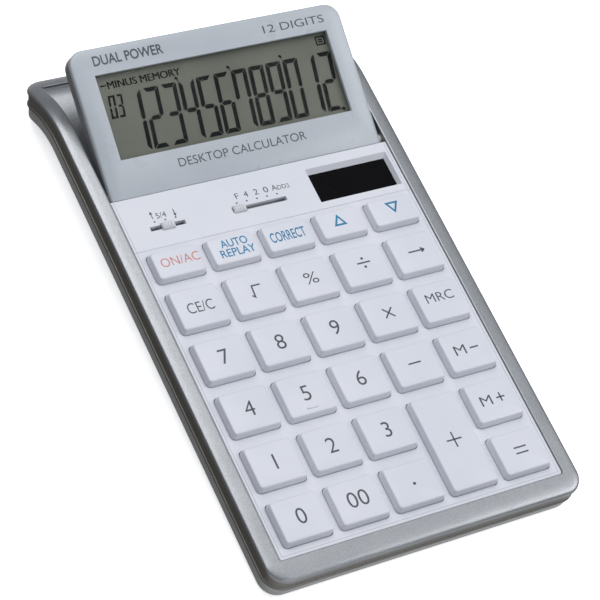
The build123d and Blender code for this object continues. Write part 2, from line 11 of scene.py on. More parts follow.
import bmesh
import bpy
from mathutils import Matrix, Vector
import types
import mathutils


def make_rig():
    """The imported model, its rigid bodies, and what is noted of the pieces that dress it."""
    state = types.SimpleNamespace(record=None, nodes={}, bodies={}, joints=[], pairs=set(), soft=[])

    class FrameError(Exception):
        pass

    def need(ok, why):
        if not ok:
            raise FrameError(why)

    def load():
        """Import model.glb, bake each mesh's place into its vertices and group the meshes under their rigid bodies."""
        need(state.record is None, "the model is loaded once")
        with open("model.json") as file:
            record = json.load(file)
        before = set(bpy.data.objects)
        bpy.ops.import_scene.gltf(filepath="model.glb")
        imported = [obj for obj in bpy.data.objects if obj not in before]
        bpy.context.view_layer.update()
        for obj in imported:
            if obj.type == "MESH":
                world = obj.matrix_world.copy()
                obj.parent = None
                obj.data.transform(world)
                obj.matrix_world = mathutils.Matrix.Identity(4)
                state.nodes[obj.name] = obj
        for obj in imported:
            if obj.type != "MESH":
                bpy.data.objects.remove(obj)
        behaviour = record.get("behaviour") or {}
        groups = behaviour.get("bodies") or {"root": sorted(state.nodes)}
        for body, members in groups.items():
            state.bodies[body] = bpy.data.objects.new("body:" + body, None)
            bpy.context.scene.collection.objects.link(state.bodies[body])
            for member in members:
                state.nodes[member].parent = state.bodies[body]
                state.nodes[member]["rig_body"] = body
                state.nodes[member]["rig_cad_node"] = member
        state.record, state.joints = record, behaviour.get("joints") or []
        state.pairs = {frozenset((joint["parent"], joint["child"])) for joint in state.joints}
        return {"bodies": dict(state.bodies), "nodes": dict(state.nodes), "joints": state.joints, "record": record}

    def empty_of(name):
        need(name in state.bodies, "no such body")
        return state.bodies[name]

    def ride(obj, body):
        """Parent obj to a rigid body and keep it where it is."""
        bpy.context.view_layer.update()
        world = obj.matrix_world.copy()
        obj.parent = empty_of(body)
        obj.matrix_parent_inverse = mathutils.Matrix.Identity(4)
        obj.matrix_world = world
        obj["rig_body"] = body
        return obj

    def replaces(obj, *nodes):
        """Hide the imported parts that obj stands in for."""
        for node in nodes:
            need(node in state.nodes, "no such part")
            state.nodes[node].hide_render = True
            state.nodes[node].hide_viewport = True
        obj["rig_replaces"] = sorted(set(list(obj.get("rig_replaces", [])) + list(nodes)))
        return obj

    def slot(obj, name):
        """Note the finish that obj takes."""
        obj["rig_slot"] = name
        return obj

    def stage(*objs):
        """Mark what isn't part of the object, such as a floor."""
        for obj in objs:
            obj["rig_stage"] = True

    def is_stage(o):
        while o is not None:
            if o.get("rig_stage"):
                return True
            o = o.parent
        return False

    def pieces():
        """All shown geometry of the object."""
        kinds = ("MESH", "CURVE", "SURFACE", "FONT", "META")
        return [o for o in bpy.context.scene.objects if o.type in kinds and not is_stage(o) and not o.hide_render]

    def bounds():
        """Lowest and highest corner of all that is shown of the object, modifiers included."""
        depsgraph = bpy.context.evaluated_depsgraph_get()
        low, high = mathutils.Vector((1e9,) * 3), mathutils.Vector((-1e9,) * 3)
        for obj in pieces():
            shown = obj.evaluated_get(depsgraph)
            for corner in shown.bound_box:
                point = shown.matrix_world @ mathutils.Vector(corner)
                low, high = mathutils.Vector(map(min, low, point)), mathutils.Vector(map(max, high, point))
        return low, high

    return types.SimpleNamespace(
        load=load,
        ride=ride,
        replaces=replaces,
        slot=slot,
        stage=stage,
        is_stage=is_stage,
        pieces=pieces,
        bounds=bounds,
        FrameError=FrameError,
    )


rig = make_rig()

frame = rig.load()
cad_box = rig.bounds()
MM = 0.001
print("CAD box", [tuple(round(v, 4) for v in corner) for corner in cad_box])

# %% [markdown]
# ## Two level working frames
# The case stands a little inclined and the display is raised on its hinge, so both are awkward to draw in place.
# Each is drawn lying level instead, in millimetres, and set in place at the end by one matrix. The incline is
# read from the direction in which the keys travel, and the hinge from its joint, so nothing is fitted by eye.

# %% The case's and the display's working frames
joints = {joint["name"]: joint for joint in frame["joints"]}
press = Vector(joints["key_5_press"]["axis"])
hinge = Vector(joints["display_tilt"]["pos_m"])
INCLINE = atan2(press.y, -press.z)
TILT = radians(18.6)
HINGE_Y, HINGE_Z = 133.6, -3.0
CASE_FRAME = (Matrix.Translation(hinge) @ Matrix.Rotation(INCLINE, 4, "X") @ Matrix.Scale(MM, 4)
              @ Matrix.Translation((0, -HINGE_Y, -HINGE_Z)))
DISPLAY_FRAME = (Matrix.Translation(hinge) @ Matrix.Rotation(INCLINE + TILT, 4, "X")
                 @ Matrix.Scale(MM, 4))


def level_box(node, working_frame):
    """Lowest and highest corner of a CAD node, in millimetres in a working frame."""
    back = working_frame.inverted()
    points = [back @ vertex.co for vertex in frame["nodes"][node].data.vertices]
    return (Vector([min(p[i] for p in points) for i in range(3)]),
            Vector([max(p[i] for p in points) for i in range(3)]))


print("incline in degrees", round(INCLINE * 180 / pi, 2))
print("frame", *level_box("top_frame", CASE_FRAME))

# %% [markdown]
# ## Camera, floor and light
# The camera stands to the left of the calculator and well above it, with a long lens that keeps the sides nearly
# parallel. The floor is made here and painted after the finishes. A wide soft box hangs overhead and behind. Its
# right edge ends where the frame's left rail still mirrors it and the right rail no longer does. Two weaker boxes
# fill in from the right and the front. The rest of the room is dimmer near the horizon, so surfaces that lean away
# from the light turn grey.

# %% Camera
camera = bpy.data.objects.new("camera", bpy.data.cameras.new("camera"))
bpy.context.scene.collection.objects.link(camera)
camera.data.lens = 147.87
camera.data.clip_end = 10
camera.location = (-0.34887, -0.31798, 0.59578)
camera.rotation_euler = (radians(35.463), radians(-16.229), radians(-26.565))
bpy.context.scene.camera = camera
print("camera", round(camera.location.length, 3), "m from the calculator")

# %% Floor
bpy.ops.object.select_all(action="DESELECT")
bpy.ops.mesh.primitive_plane_add(size=6, location=(0, 0, 0))
floor = bpy.context.object
floor.name = "floor"
floor_paint = bpy.data.materials.new("floor_paint")
floor_paint.use_nodes = True
floor.data.materials.append(floor_paint)
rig.stage(floor)

# %% Lights
ROOM_STRENGTH = 0.5
scene_world = bpy.data.worlds.new("room")
bpy.context.scene.world = scene_world
scene_world.use_nodes = True
room_nodes, room_links = scene_world.node_tree.nodes, scene_world.node_tree.links
direction = room_nodes.new("ShaderNodeTexCoord")
height = room_nodes.new("ShaderNodeSeparateXYZ")
room_links.new(direction.outputs["Generated"], height.inputs[0])
room_shade = room_nodes.new("ShaderNodeValToRGB")
room_links.new(height.outputs["Z"], room_shade.inputs["Fac"])
room_shade.color_ramp.elements[0].position, room_shade.color_ramp.elements[1].position = 0.05, 0.8
room_shade.color_ramp.elements[0].color = (0.30, 0.31, 0.33, 1)
room_shade.color_ramp.elements[1].color = (0.85, 0.90, 1.0, 1)
room_links.new(room_shade.outputs["Color"], room_nodes["Background"].inputs["Color"])
room_nodes["Background"].inputs["Strength"].default_value = ROOM_STRENGTH
bpy.context.scene.view_settings.view_transform = "Standard"


def soft_box(name, place, width, height, power, colour):
    """A rectangular light that faces the calculator."""
    light = bpy.data.objects.new(name, bpy.data.lights.new(name, "AREA"))
    bpy.context.scene.collection.objects.link(light)
    light.data.shape = "RECTANGLE"
    light.data.size, light.data.size_y = width, height
    light.data.energy = power
    light.data.color = colour
    light.location = place
    light.rotation_euler = (-Vector(place)).to_track_quat("-Z", "Y").to_euler()


soft_box("overhead_box", (-0.1, 0.6, 1.2), 1.45, 0.9, 10, (1, 0.995, 0.985))
soft_box("right_box", (1.0, -0.2, 1.1), 0.7, 0.7, 5.4, (1, 1, 1))
soft_box("front_box", (0.2, -1.3, 0.9), 0.9, 0.5, 3.2, (1, 1, 1))
print(len(bpy.data.lights), "soft boxes")

# %% [markdown]
# ## Effects that several finishes share
# Moulded plastic is never one flat colour: it has a fine spark-eroded grain, a slow drift in tone from the way it
# filled the mould, and patches that fingers have polished. Metallic paint has flakes instead of a grain. Each
# effect is one node group with its own dials, so that every finish below can use it at its own strength.

# %% A helper that starts a node group
def start_group(name, inputs):
    """A shader node group with dials (name: default) that puts out a colour, a roughness and a height."""
    group = bpy.data.node_groups.new(name, "ShaderNodeTree")
    for label, value in inputs.items():
        kind = "NodeSocketColor" if isinstance(value, tuple) else "NodeSocketFloat"
        socket = group.interface.new_socket(label, in_out="INPUT", socket_type=kind)
        socket.default_value = value
    for label, kind in (("Colour", "Color"), ("Roughness", "Float"), ("Height", "Float")):
        group.interface.new_socket(label, in_out="OUTPUT", socket_type=f"NodeSocket{kind}")
    return group, group.nodes.new("NodeGroupInput"), group.nodes.new("NodeGroupOutput")


def noise(tree, scale, detail, socket=None):
    """A noise on the object's own metres; a socket may drive its scale."""
    place = tree.nodes.new("ShaderNodeTexCoord")
    texture = tree.nodes.new("ShaderNodeTexNoise")
    texture.inputs["Scale"].default_value = scale
    texture.inputs["Detail"].default_value = detail
    tree.links.new(place.outputs["Object"], texture.inputs["Vector"])
    if socket:
        tree.links.new(socket, texture.inputs["Scale"])
    return texture.outputs["Fac"]


def remap(tree, source, low, high, out_low=0.0, out_high=1.0):
    """A value stretched from one range to another; the output range may be sockets."""
    node = tree.nodes.new("ShaderNodeMapRange")
    tree.links.new(source, node.inputs["Value"])
    for label, value in (("From Min", low), ("From Max", high), ("To Min", out_low), ("To Max", out_high)):
        if isinstance(value, (int, float)):
            node.inputs[label].default_value = value
        else:
            tree.links.new(value, node.inputs[label])
    return node.outputs["Result"]


def blend_colours(tree, factor, first, second):
    """A mix of two colours, each a socket or a plain colour."""
    node = tree.nodes.new("ShaderNodeMix")
    node.data_type = "RGBA"
    tree.links.new(factor, node.inputs["Factor"])
    for label, value in (("A", first), ("B", second)):
        socket = next(s for s in node.inputs if s.name == label and s.type == "RGBA")
        if isinstance(value, tuple):
            socket.default_value = value
        else:
            tree.links.new(value, socket)
    return next(s for s in node.outputs if s.type == "RGBA")


def arithmetic(tree, operation, first, second):
    """One step of arithmetic on two values, each a socket or a number."""
    node = tree.nodes.new("ShaderNodeMath")
    node.operation = operation
    for index, value in enumerate((first, second)):
        if isinstance(value, (int, float)):
            node.inputs[index].default_value = value
        else:
            tree.links.new(value, node.inputs[index])
    return node.outputs[0]


# %% Moulded skin: tone drift, spark-eroded grain and polished patches
moulded_skin, dials, result = start_group(
    "moulded_skin",
    {"Light": (0.8, 0.8, 0.8, 1), "Dark": (0.7, 0.7, 0.7, 1), "Grain Scale": 5000.0,
     "Rough": 0.4, "Polished": 0.3})
drift = remap(moulded_skin, noise(moulded_skin, 45, 3), 0.35, 0.65)
specks = remap(moulded_skin, noise(moulded_skin, 1900, 2), 0.62, 0.74)
tone = arithmetic(moulded_skin, "MAXIMUM", drift, specks)
moulded_skin.links.new(
    blend_colours(moulded_skin, tone, dials.outputs["Light"], dials.outputs["Dark"]), result.inputs["Colour"])
touched = remap(moulded_skin, noise(moulded_skin, 120, 4), 0.42, 0.66)
moulded_skin.links.new(
    remap(moulded_skin, touched, 0, 1, dials.outputs["Rough"], dials.outputs["Polished"]),
    result.inputs["Roughness"])
grain = noise(moulded_skin, 5000, 3, dials.outputs["Grain Scale"])
moulded_skin.links.new(grain, result.inputs["Height"])
print("moulded_skin", len(moulded_skin.nodes), "nodes")

# %% Metal flake: bright and dark specks that lie at slightly different angles in the paint
metal_flake, dials, result = start_group(
    "metal_flake",
    {"Light": (0.7, 0.7, 0.7, 1), "Dark": (0.4, 0.4, 0.4, 1), "Rough": 0.35, "Spread": 0.5})
place = metal_flake.nodes.new("ShaderNodeTexCoord")
cells = metal_flake.nodes.new("ShaderNodeTexVoronoi")
cells.inputs["Scale"].default_value = 5200
metal_flake.links.new(place.outputs["Object"], cells.inputs["Vector"])
flake = metal_flake.nodes.new("ShaderNodeSeparateColor")
metal_flake.links.new(cells.outputs["Color"], flake.inputs[0])
cloud = remap(metal_flake, noise(metal_flake, 90, 3), 0.3, 0.7)
shade = arithmetic(metal_flake, "ADD", arithmetic(metal_flake, "MULTIPLY", flake.outputs[0], 0.75),
                   arithmetic(metal_flake, "MULTIPLY", cloud, 0.25))
metal_flake.links.new(
    blend_colours(metal_flake, shade, dials.outputs["Dark"], dials.outputs["Light"]), result.inputs["Colour"])
rough_high = arithmetic(metal_flake, "ADD", dials.outputs["Rough"], 0.12)
metal_flake.links.new(
    remap(metal_flake, flake.outputs[1], 0, 1, dials.outputs["Rough"], rough_high), result.inputs["Roughness"])
metal_flake.links.new(
    arithmetic(metal_flake, "MULTIPLY", flake.outputs[2], dials.outputs["Spread"]), result.inputs["Height"])
print("metal_flake", len(metal_flake.nodes), "nodes")


# %% [markdown]
# ## Finishes
# Every finish is a Principled shader fed by one of the two groups. What is the same all over a surface, such as
# its index of refraction or its clear coat, is set on the shader itself.

# %% A helper that makes a finish from a group
RELIEF_DEPTH = 0.00002


def finish_from(group, name, light, dark, bump, **shader):
    """A material whose colour, roughness and relief come from a group; shader holds plain socket values."""
    material = bpy.data.materials.new(name)
    material.use_nodes = True
    tree = material.node_tree
    skin = tree.nodes.new("ShaderNodeGroup")
    skin.node_tree = group
    skin.inputs["Light"].default_value, skin.inputs["Dark"].default_value = (*light, 1), (*dark, 1)
    principled = tree.nodes["Principled BSDF"]
    relief = tree.nodes.new("ShaderNodeBump")
    relief.inputs["Strength"].default_value = bump
    relief.inputs["Distance"].default_value = RELIEF_DEPTH
    tree.links.new(skin.outputs["Colour"], principled.inputs["Base Color"])
    tree.links.new(skin.outputs["Roughness"], principled.inputs["Roughness"])
    tree.links.new(skin.outputs["Height"], relief.inputs["Height"])
    tree.links.new(relief.outputs["Normal"], principled.inputs["Normal"])
    for label, value in shader.items():
        label = label.replace("_", " ")
        if label in skin.inputs:
            skin.inputs[label].default_value = value
        else:
            principled.inputs[label].default_value = value
    return material


def plastic(name, light, dark, rough, polished, bump=0.15, **shader):
    """Moulded plastic or ink: two tones, and the roughness of its plain and its polished patches."""
    return finish_from(moulded_skin, name, light, dark, bump, Rough=rough, Polished=polished, **shader)


def paint(name, light, dark, rough, bump=0.12, **shader):
    """Metallic paint or plain metal: the tones of its bright and dark flakes."""
    return finish_from(metal_flake, name, light, dark, bump, Rough=rough, **shader)


# %% The finishes, one for each slot of the record and a few inks
finishes = {
    "keycap": plastic("keycap", (0.68, 0.69, 0.74), (0.645, 0.66, 0.715), 0.42, 0.34, Coat_Weight=0.08),
    "white_face": plastic("white_face", (0.68, 0.69, 0.735), (0.65, 0.665, 0.715), 0.5, 0.42),
    "silver_frame": paint("silver_frame", (0.365, 0.375, 0.39), (0.255, 0.265, 0.275), 0.30, Metallic=0.85,
                          Coat_Weight=0.25, Coat_Roughness=0.15),
    "side_wall": paint("side_wall", (0.26, 0.25, 0.23), (0.165, 0.158, 0.142), 0.36, Metallic=0.68,
                       Coat_Weight=0.1),
    "panel_shade": plastic("panel_shade", (0.36, 0.37, 0.40), (0.30, 0.31, 0.34), 0.6, 0.5),
    "lower_case": paint("lower_case", (0.58, 0.58, 0.565), (0.46, 0.46, 0.45), 0.38, Metallic=0.3),
    "bezel": plastic("bezel", (0.45, 0.485, 0.52), (0.42, 0.455, 0.49), 0.34, 0.27, 0.06, Coat_Weight=0.15),
    "display_case": plastic("display_case", (0.21, 0.21, 0.22), (0.165, 0.165, 0.175), 0.45, 0.36),
    "lcd": plastic("lcd", (0.185, 0.19, 0.155), (0.16, 0.165, 0.135), 0.55, 0.5, 0.05, Specular_IOR_Level=0.2),
    "slide_knob": plastic("slide_knob", (0.66, 0.67, 0.69), (0.58, 0.59, 0.61), 0.45, 0.38),
    "dark_window": plastic("dark_window", (0.004, 0.004, 0.005), (0.003, 0.003, 0.004), 0.3, 0.22, 0.02,
                           Specular_IOR_Level=0.04),
    "rubber": plastic("rubber", (0.035, 0.035, 0.035), (0.02, 0.02, 0.02), 0.85, 0.7, 0.4, Grain_Scale=2500.0),
    "key_rubber": plastic("key_rubber", (0.5, 0.5, 0.49), (0.42, 0.42, 0.41), 0.75, 0.65, 0.3),
    "chip": plastic("chip", (0.03, 0.03, 0.03), (0.018, 0.018, 0.018), 0.6, 0.5, 0.3),
    "nylon": plastic("nylon", (0.8, 0.79, 0.74), (0.7, 0.69, 0.64), 0.45, 0.38),
    "circuit_board": plastic("circuit_board", (0.03, 0.16, 0.07), (0.015, 0.09, 0.04), 0.4, 0.28,
                             Coat_Weight=0.3),
    "screw_steel": paint("screw_steel", (0.62, 0.61, 0.58), (0.4, 0.39, 0.37), 0.3, Metallic=1.0),
    "contact_metal": paint("contact_metal", (0.72, 0.66, 0.48), (0.55, 0.5, 0.36), 0.28, Metallic=1.0),
    "cell_case": paint("cell_case", (0.8, 0.8, 0.78), (0.66, 0.66, 0.64), 0.18, Metallic=1.0),
    "legend_ink": plastic("legend_ink", (0.075, 0.08, 0.095), (0.055, 0.06, 0.075), 0.5, 0.42),
    "red_ink": plastic("red_ink", (0.62, 0.21, 0.17), (0.55, 0.17, 0.14), 0.5, 0.42),
    "blue_ink": plastic("blue_ink", (0.010, 0.19, 0.36), (0.006, 0.16, 0.31), 0.5, 0.42),
    "bezel_ink": plastic("bezel_ink", (0.075, 0.085, 0.10), (0.055, 0.065, 0.08), 0.5, 0.42),
    "lcd_ink": plastic("lcd_ink", (0.006, 0.01, 0.008), (0.003, 0.006, 0.005), 0.6, 0.55, 0.02,
                       Specular_IOR_Level=0.1),
}
print(len(finishes), "finishes")

# %% [markdown]
# ## The floor's two jobs
# Seen directly, the floor is a sheet of white paper. The light that it throws back carries painted shade: its bounce
# colour is a mid grey, and nearly black along the left side, so that the wall mirrors painted darkness and only
# the rail flashes.

# %% The floor's paper and its painted shade for bounced light
SHADED_BOUNCE_SIDE, SHADED_BOUNCE_FRONT = (-0.057, -0.045), (-0.086, -0.097)
PAPER_GLOW = 0.62
tree = floor_paint.node_tree
floor_shader = tree.nodes["Principled BSDF"]
floor_shader.inputs["Roughness"].default_value = 0.8
floor_shader.inputs["Emission Color"].default_value = (1, 1, 1, 1)
seen = tree.nodes.new("ShaderNodeLightPath").outputs["Is Camera Ray"]
spot = tree.nodes.new("ShaderNodeSeparateXYZ")
tree.links.new(tree.nodes.new("ShaderNodeTexCoord").outputs["Object"], spot.inputs[0])
right_of_painted_shade = remap(tree, spot.outputs["X"], *SHADED_BOUNCE_SIDE)
in_front_of_painted_shade = remap(tree, spot.outputs["Y"], *SHADED_BOUNCE_FRONT)
lit = arithmetic(tree, "MAXIMUM", right_of_painted_shade, in_front_of_painted_shade)
# Painted shade: the floor's bounce colour is nearly black left of the calculator and light grey elsewhere, so the left
# wall mirrors darkness.
bounce = blend_colours(tree, lit, (0.14, 0.132, 0.118, 1), (0.80, 0.80, 0.79, 1))
tree.links.new(blend_colours(tree, seen, bounce, (0.95, 0.95, 0.95, 1)), floor_shader.inputs["Base Color"])
tree.links.new(arithmetic(tree, "MULTIPLY", seen, PAPER_GLOW), floor_shader.inputs["Emission Strength"])
print("floor painted")

# %% [markdown]
# ## Two finishes of their own
# The window over the digits is thin clear acrylic. It could be glass that refracts, but a pane this thin hardly
# bends light, so a low alpha with a glossy surface does the same and is simple. The solar cell is four dark strips
# with fine lines between them, and the lines are a pattern that repeats across the cell's own width.

# %% Clear window: thin glossy acrylic that lets nearly all light through
clear_window = bpy.data.materials.new("window")
clear_window.use_nodes = True
tree = clear_window.node_tree
acrylic = tree.nodes["Principled BSDF"]
acrylic.inputs["Base Color"].default_value = (0.02, 0.025, 0.022, 1)
acrylic.inputs["IOR"].default_value = 1.45
smear = remap(tree, noise(tree, 60, 4), 0.35, 0.7, 0.05, 0.12)
tree.links.new(smear, acrylic.inputs["Roughness"])
tree.links.new(remap(tree, noise(tree, 25, 3), 0.3, 0.7, 0.04, 0.06), acrylic.inputs["Alpha"])
finishes["window"] = clear_window
print("clear window", len(tree.nodes), "nodes")

# %% Solar cell: dark amorphous silicon divided into strips by fine lines
solar_finish = plastic("solar_cell", (0.02, 0.012, 0.016), (0.008, 0.006, 0.01), 0.2, 0.14, 0.02,
                       Specular_IOR_Level=0.15)
tree = solar_finish.node_tree
across = tree.nodes.new("ShaderNodeSeparateXYZ")
tree.links.new(tree.nodes.new("ShaderNodeTexCoord").outputs["Object"], across.inputs[0])
STRIP_PITCH = 0.0068
strip = arithmetic(tree, "PINGPONG", arithmetic(tree, "ADD", across.outputs["X"], 1.0), STRIP_PITCH / 2)
line = remap(tree, strip, 0.0002, 0.0001)
skin = next(node for node in tree.nodes if node.type == "GROUP")
tree.links.new(blend_colours(tree, line, skin.outputs["Colour"], (0.03, 0.027, 0.025, 1)),
               tree.nodes["Principled BSDF"].inputs["Base Color"])
finishes["solar_cell"] = solar_finish
print("solar cell lines every", STRIP_PITCH, "m")

# %% Give every CAD node the finish of its slot
slot_of = {entry["node"]: entry["material_slot"] for entry in frame["record"]["subparts"]}
for node, thing in frame["nodes"].items():
    thing.data.materials.clear()
    thing.data.materials.append(finishes[slot_of[node]])
frame["nodes"]["display_well"].data.materials[0] = finishes["silver_frame"]
print(len(slot_of), "nodes finished")


# %% [markdown]
# ## Modelling helpers
# Every piece begins as a primitive of the right size, lying level in millimetres. Faces and edges are picked in
# code by where they are, shaped by the same operators as by hand, and the finished piece is set in place with one
# matrix that is applied to the mesh.

# %% Start, pick and finish
def select_only(piece):
    """Makes a piece the active object and the only one selected."""
    bpy.ops.object.select_all(action="DESELECT")
    piece.select_set(True)
    bpy.context.view_layer.objects.active = piece


def start_cube(name, low, high):
    """A cube primitive from one corner to the other."""
    bpy.ops.object.select_all(action="DESELECT")
    low, high = Vector(low), Vector(high)
    bpy.ops.mesh.primitive_cube_add(size=1, location=(low + high) / 2)
    piece = bpy.context.object
    piece.name = piece.data.name = name
    piece.scale = high - low
    bpy.ops.object.transform_apply(location=True, rotation=False, scale=True)
    return piece


def start_disc(name, radius, low, high, x=0.0, y=0.0, sides=32):
    """A cylinder primitive standing on the level."""
    bpy.ops.object.select_all(action="DESELECT")
    bpy.ops.mesh.primitive_cylinder_add(vertices=sides, radius=radius, depth=high - low,
                                        location=(x, y, (low + high) / 2))
    piece = bpy.context.object
    piece.name = piece.data.name = name
    bpy.ops.object.transform_apply(location=True, rotation=False, scale=False)
    return piece


def pick(piece, kind, test):
    """In edit mode, selects only the faces, edges or vertices for which a test holds."""
    bpy.ops.object.mode_set(mode="EDIT")
    bpy.ops.mesh.select_mode(type=kind)
    bpy.ops.mesh.select_all(action="DESELECT")
    mesh = bmesh.from_edit_mesh(piece.data)
    parts = {"FACE": mesh.faces, "EDGE": mesh.edges, "VERT": mesh.verts}[kind]
    for part in parts:
        if test(part):
            part.select_set(True)
    mesh.select_flush_mode()
    bmesh.update_edit_mesh(piece.data)


def leave_edit():
    """Back to object mode, which writes the mesh."""
    bpy.ops.object.mode_set(mode="OBJECT")


def upright_edge(edge):
    """True for an edge that stands on the level."""
    a, b = (vertex.co for vertex in edge.verts)
    return abs(a.x - b.x) + abs(a.y - b.y) < 1e-4 < abs(a.z - b.z)


def face_at(z, facing=1):
    """A test for level faces at a height."""
    return lambda face: abs(face.calc_center_median().z - z) < 1e-3 and face.normal.z * facing > 0.9


def round_edges(piece, test, radius, steps):
    """Rounds the edges for which a test holds."""
    pick(piece, "EDGE", test)
    bpy.ops.mesh.bevel(offset=radius, segments=steps, affect="EDGES")
    leave_edit()


def rise_inwards(piece, z, steps, facing=1):
    """Insets the level face at z again and again; steps are (inwards, upwards) moves."""
    pick(piece, "FACE", face_at(z, facing))
    for inwards, upwards in steps:
        if inwards:
            bpy.ops.mesh.inset(thickness=inwards, depth=upwards)
        else:
            bpy.ops.mesh.extrude_region_move(TRANSFORM_OT_translate={"value": (0, 0, upwards * facing)})
    leave_edit()


def join_into(piece, *others):
    """Joins finished shapes into one piece."""
    bpy.ops.object.select_all(action="DESELECT")
    for other in others:
        other.select_set(True)
    piece.select_set(True)
    bpy.context.view_layer.objects.active = piece
    bpy.ops.object.join()
    return piece


def cut_with(piece, cutter):
    """Cuts one shape out of another with a boolean modifier, and removes the cutter."""
    select_only(piece)
    boolean = piece.modifiers.new("cut", "BOOLEAN")
    boolean.operation, boolean.object, boolean.solver = "DIFFERENCE", cutter, "EXACT"
    bpy.ops.object.modifier_apply(modifier=boolean.name)
    bpy.data.objects.remove(cutter)


def soften(piece, width, steps=2, angle=40):
    """A small bevel along every edge sharper than an angle."""
    select_only(piece)
    bevel = piece.modifiers.new("soften", "BEVEL")
    bevel.width, bevel.segments, bevel.limit_method = width, steps, "ANGLE"
    bevel.angle_limit = radians(angle)
    bevel.use_clamp_overlap = True
    bpy.ops.object.modifier_apply(modifier=bevel.name)


def copy_of(piece, name):
    """A copy with a mesh of its own."""
    copy = piece.copy()
    copy.data = piece.data.copy()
    copy.name = copy.data.name = name
    bpy.context.scene.collection.objects.link(copy)
    return copy


def set_in_place(piece, matrix, body, slot, finish=None, nodes=(), smooth=35):
    """Applies a piece's place to its mesh, shades it, and ties it to its body, slot and CAD nodes."""
    select_only(piece)
    piece.data.transform(matrix)
    piece.data.update()
    if smooth:
        bpy.ops.object.shade_smooth_by_angle(angle=radians(smooth))
    piece.data.materials.clear()
    piece.data.materials.append(finishes[finish or slot])
    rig.ride(piece, body)
    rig.slot(piece, slot)
    if nodes:
        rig.replaces(piece, *nodes)
    return piece


# %% [markdown]
# ## Keycaps
# A key is a hollow moulding: a rounded plan, sides that lean in so that it leaves the mould, a softly rounded
# rim, a flange under the panel that keeps it from falling out, and a stem that presses the rubber mat. It could
# be cut from a block, but insets keep the rounded plan at every step, so the cap is grown from its flange
# upwards. Three sizes are modelled once each, and copied to their places.

# %% Sizes of a keycap
KEY_TOP, KEY_SHOULDER, KEY_FOOT, KEY_FLANGE = 2.5, 0.4, -1.75, -2.35
KEY_RIM, KEY_LEAN, KEY_CORNER = 0.45, 0.5627, 2.0
FLANGE_OUT, CAP_WALL = 0.5, 1.3
STEM_RADIUS, STEM_FOOT, STEM_RIM = 1.6, -2.8, 0.3
ROW_PITCH = 18.04


def grow_keycap(name, width, depth, stems):
    """A keycap centred on the origin, its base width by depth."""
    half_x, half_y = width / 2 + FLANGE_OUT, depth / 2 + FLANGE_OUT
    cap = start_cube(name, (-half_x, -half_y, KEY_FLANGE), (half_x, half_y, KEY_FOOT))
    round_edges(cap, upright_edge, KEY_CORNER, 6)
    rise_inwards(cap, KEY_FOOT, [(FLANGE_OUT, 0), (0, KEY_SHOULDER - KEY_FOOT),
                                 (KEY_LEAN, KEY_TOP - KEY_SHOULDER)])
    round_edges(cap, lambda edge: all(abs(v.co.z - KEY_TOP) < 1e-3 for v in edge.verts), KEY_RIM, 4)
    rise_inwards(cap, KEY_FLANGE, [(FLANGE_OUT + CAP_WALL, 0), (0, -(KEY_TOP - CAP_WALL - KEY_FLANGE))],
                 facing=-1)
    for y in stems:
        stem = start_disc("stem", STEM_RADIUS, STEM_FOOT, KEY_TOP - CAP_WALL + 0.1, 0, y)
        round_edges(stem, lambda edge: all(v.co.z < STEM_FOOT + 0.01 for v in edge.verts), STEM_RIM, 2)
        join_into(cap, stem)
    return cap


# %% Grow one cap of each size
key_nodes = sorted(name for name in frame["nodes"] if name.startswith("key_")
                   and name not in ("key_mat",) and "panel" not in name)
key_boxes = {name: level_box(name, CASE_FRAME) for name in key_nodes}
patterns = {}
for name, (low, high) in key_boxes.items():
    size = (round(high.x - low.x - 2 * FLANGE_OUT, 3), round(high.y - low.y - 2 * FLANGE_OUT, 3))
    if size not in patterns:
        stems = (-ROW_PITCH / 2, ROW_PITCH / 2) if size[1] > ROW_PITCH else (0,)
        patterns[size] = grow_keycap(f"keycap_pattern_{len(patterns)}", *size, stems)
    patterns[name] = size
print({key: patterns[key].name for key in patterns if isinstance(key, tuple)})

# %% Copy the caps to their places, the middle one with a raised bar for the finger
BAR_HALF, BAR_FROM_EDGE = 1.9, 1.9
key_middles = {}
for name, (low, high) in key_boxes.items():
    middle = (low + high) / 2
    key_middles[name] = (middle.x, middle.y)
    cap = copy_of(patterns[patterns[name]], f"{name}_cap")
    if name == "key_5":
        bar_y = -(high.y - low.y) / 2 + FLANGE_OUT + KEY_LEAN + BAR_FROM_EDGE
        bar = start_cube("bar", (-BAR_HALF, bar_y - 0.3, KEY_TOP - 0.1), (BAR_HALF, bar_y + 0.3, KEY_TOP + 0.3))
        soften(bar, 0.24, 3)
        join_into(cap, bar)
    set_in_place(cap, CASE_FRAME @ Matrix.Translation((middle.x, middle.y, 0)), name, "keycap",
                 nodes=(name,), smooth=30)
for key in list(patterns):
    if isinstance(key, tuple):
        bpy.data.objects.remove(patterns.pop(key))
print(len(key_middles), "keycaps")


# %% [markdown]
# ## Printed legends
# The legends are pad printed: a film of ink about two hundredths of a millimetre proud of the key. Words and
# digits come from text objects, which are thickened, made a mesh, and scaled until their capitals have the
# measured height. Signs are drawn as strokes of one width, like a sign writer's.

# %% Print words
INK_LIFT = 0.02
INK_DEPTH = 0.05


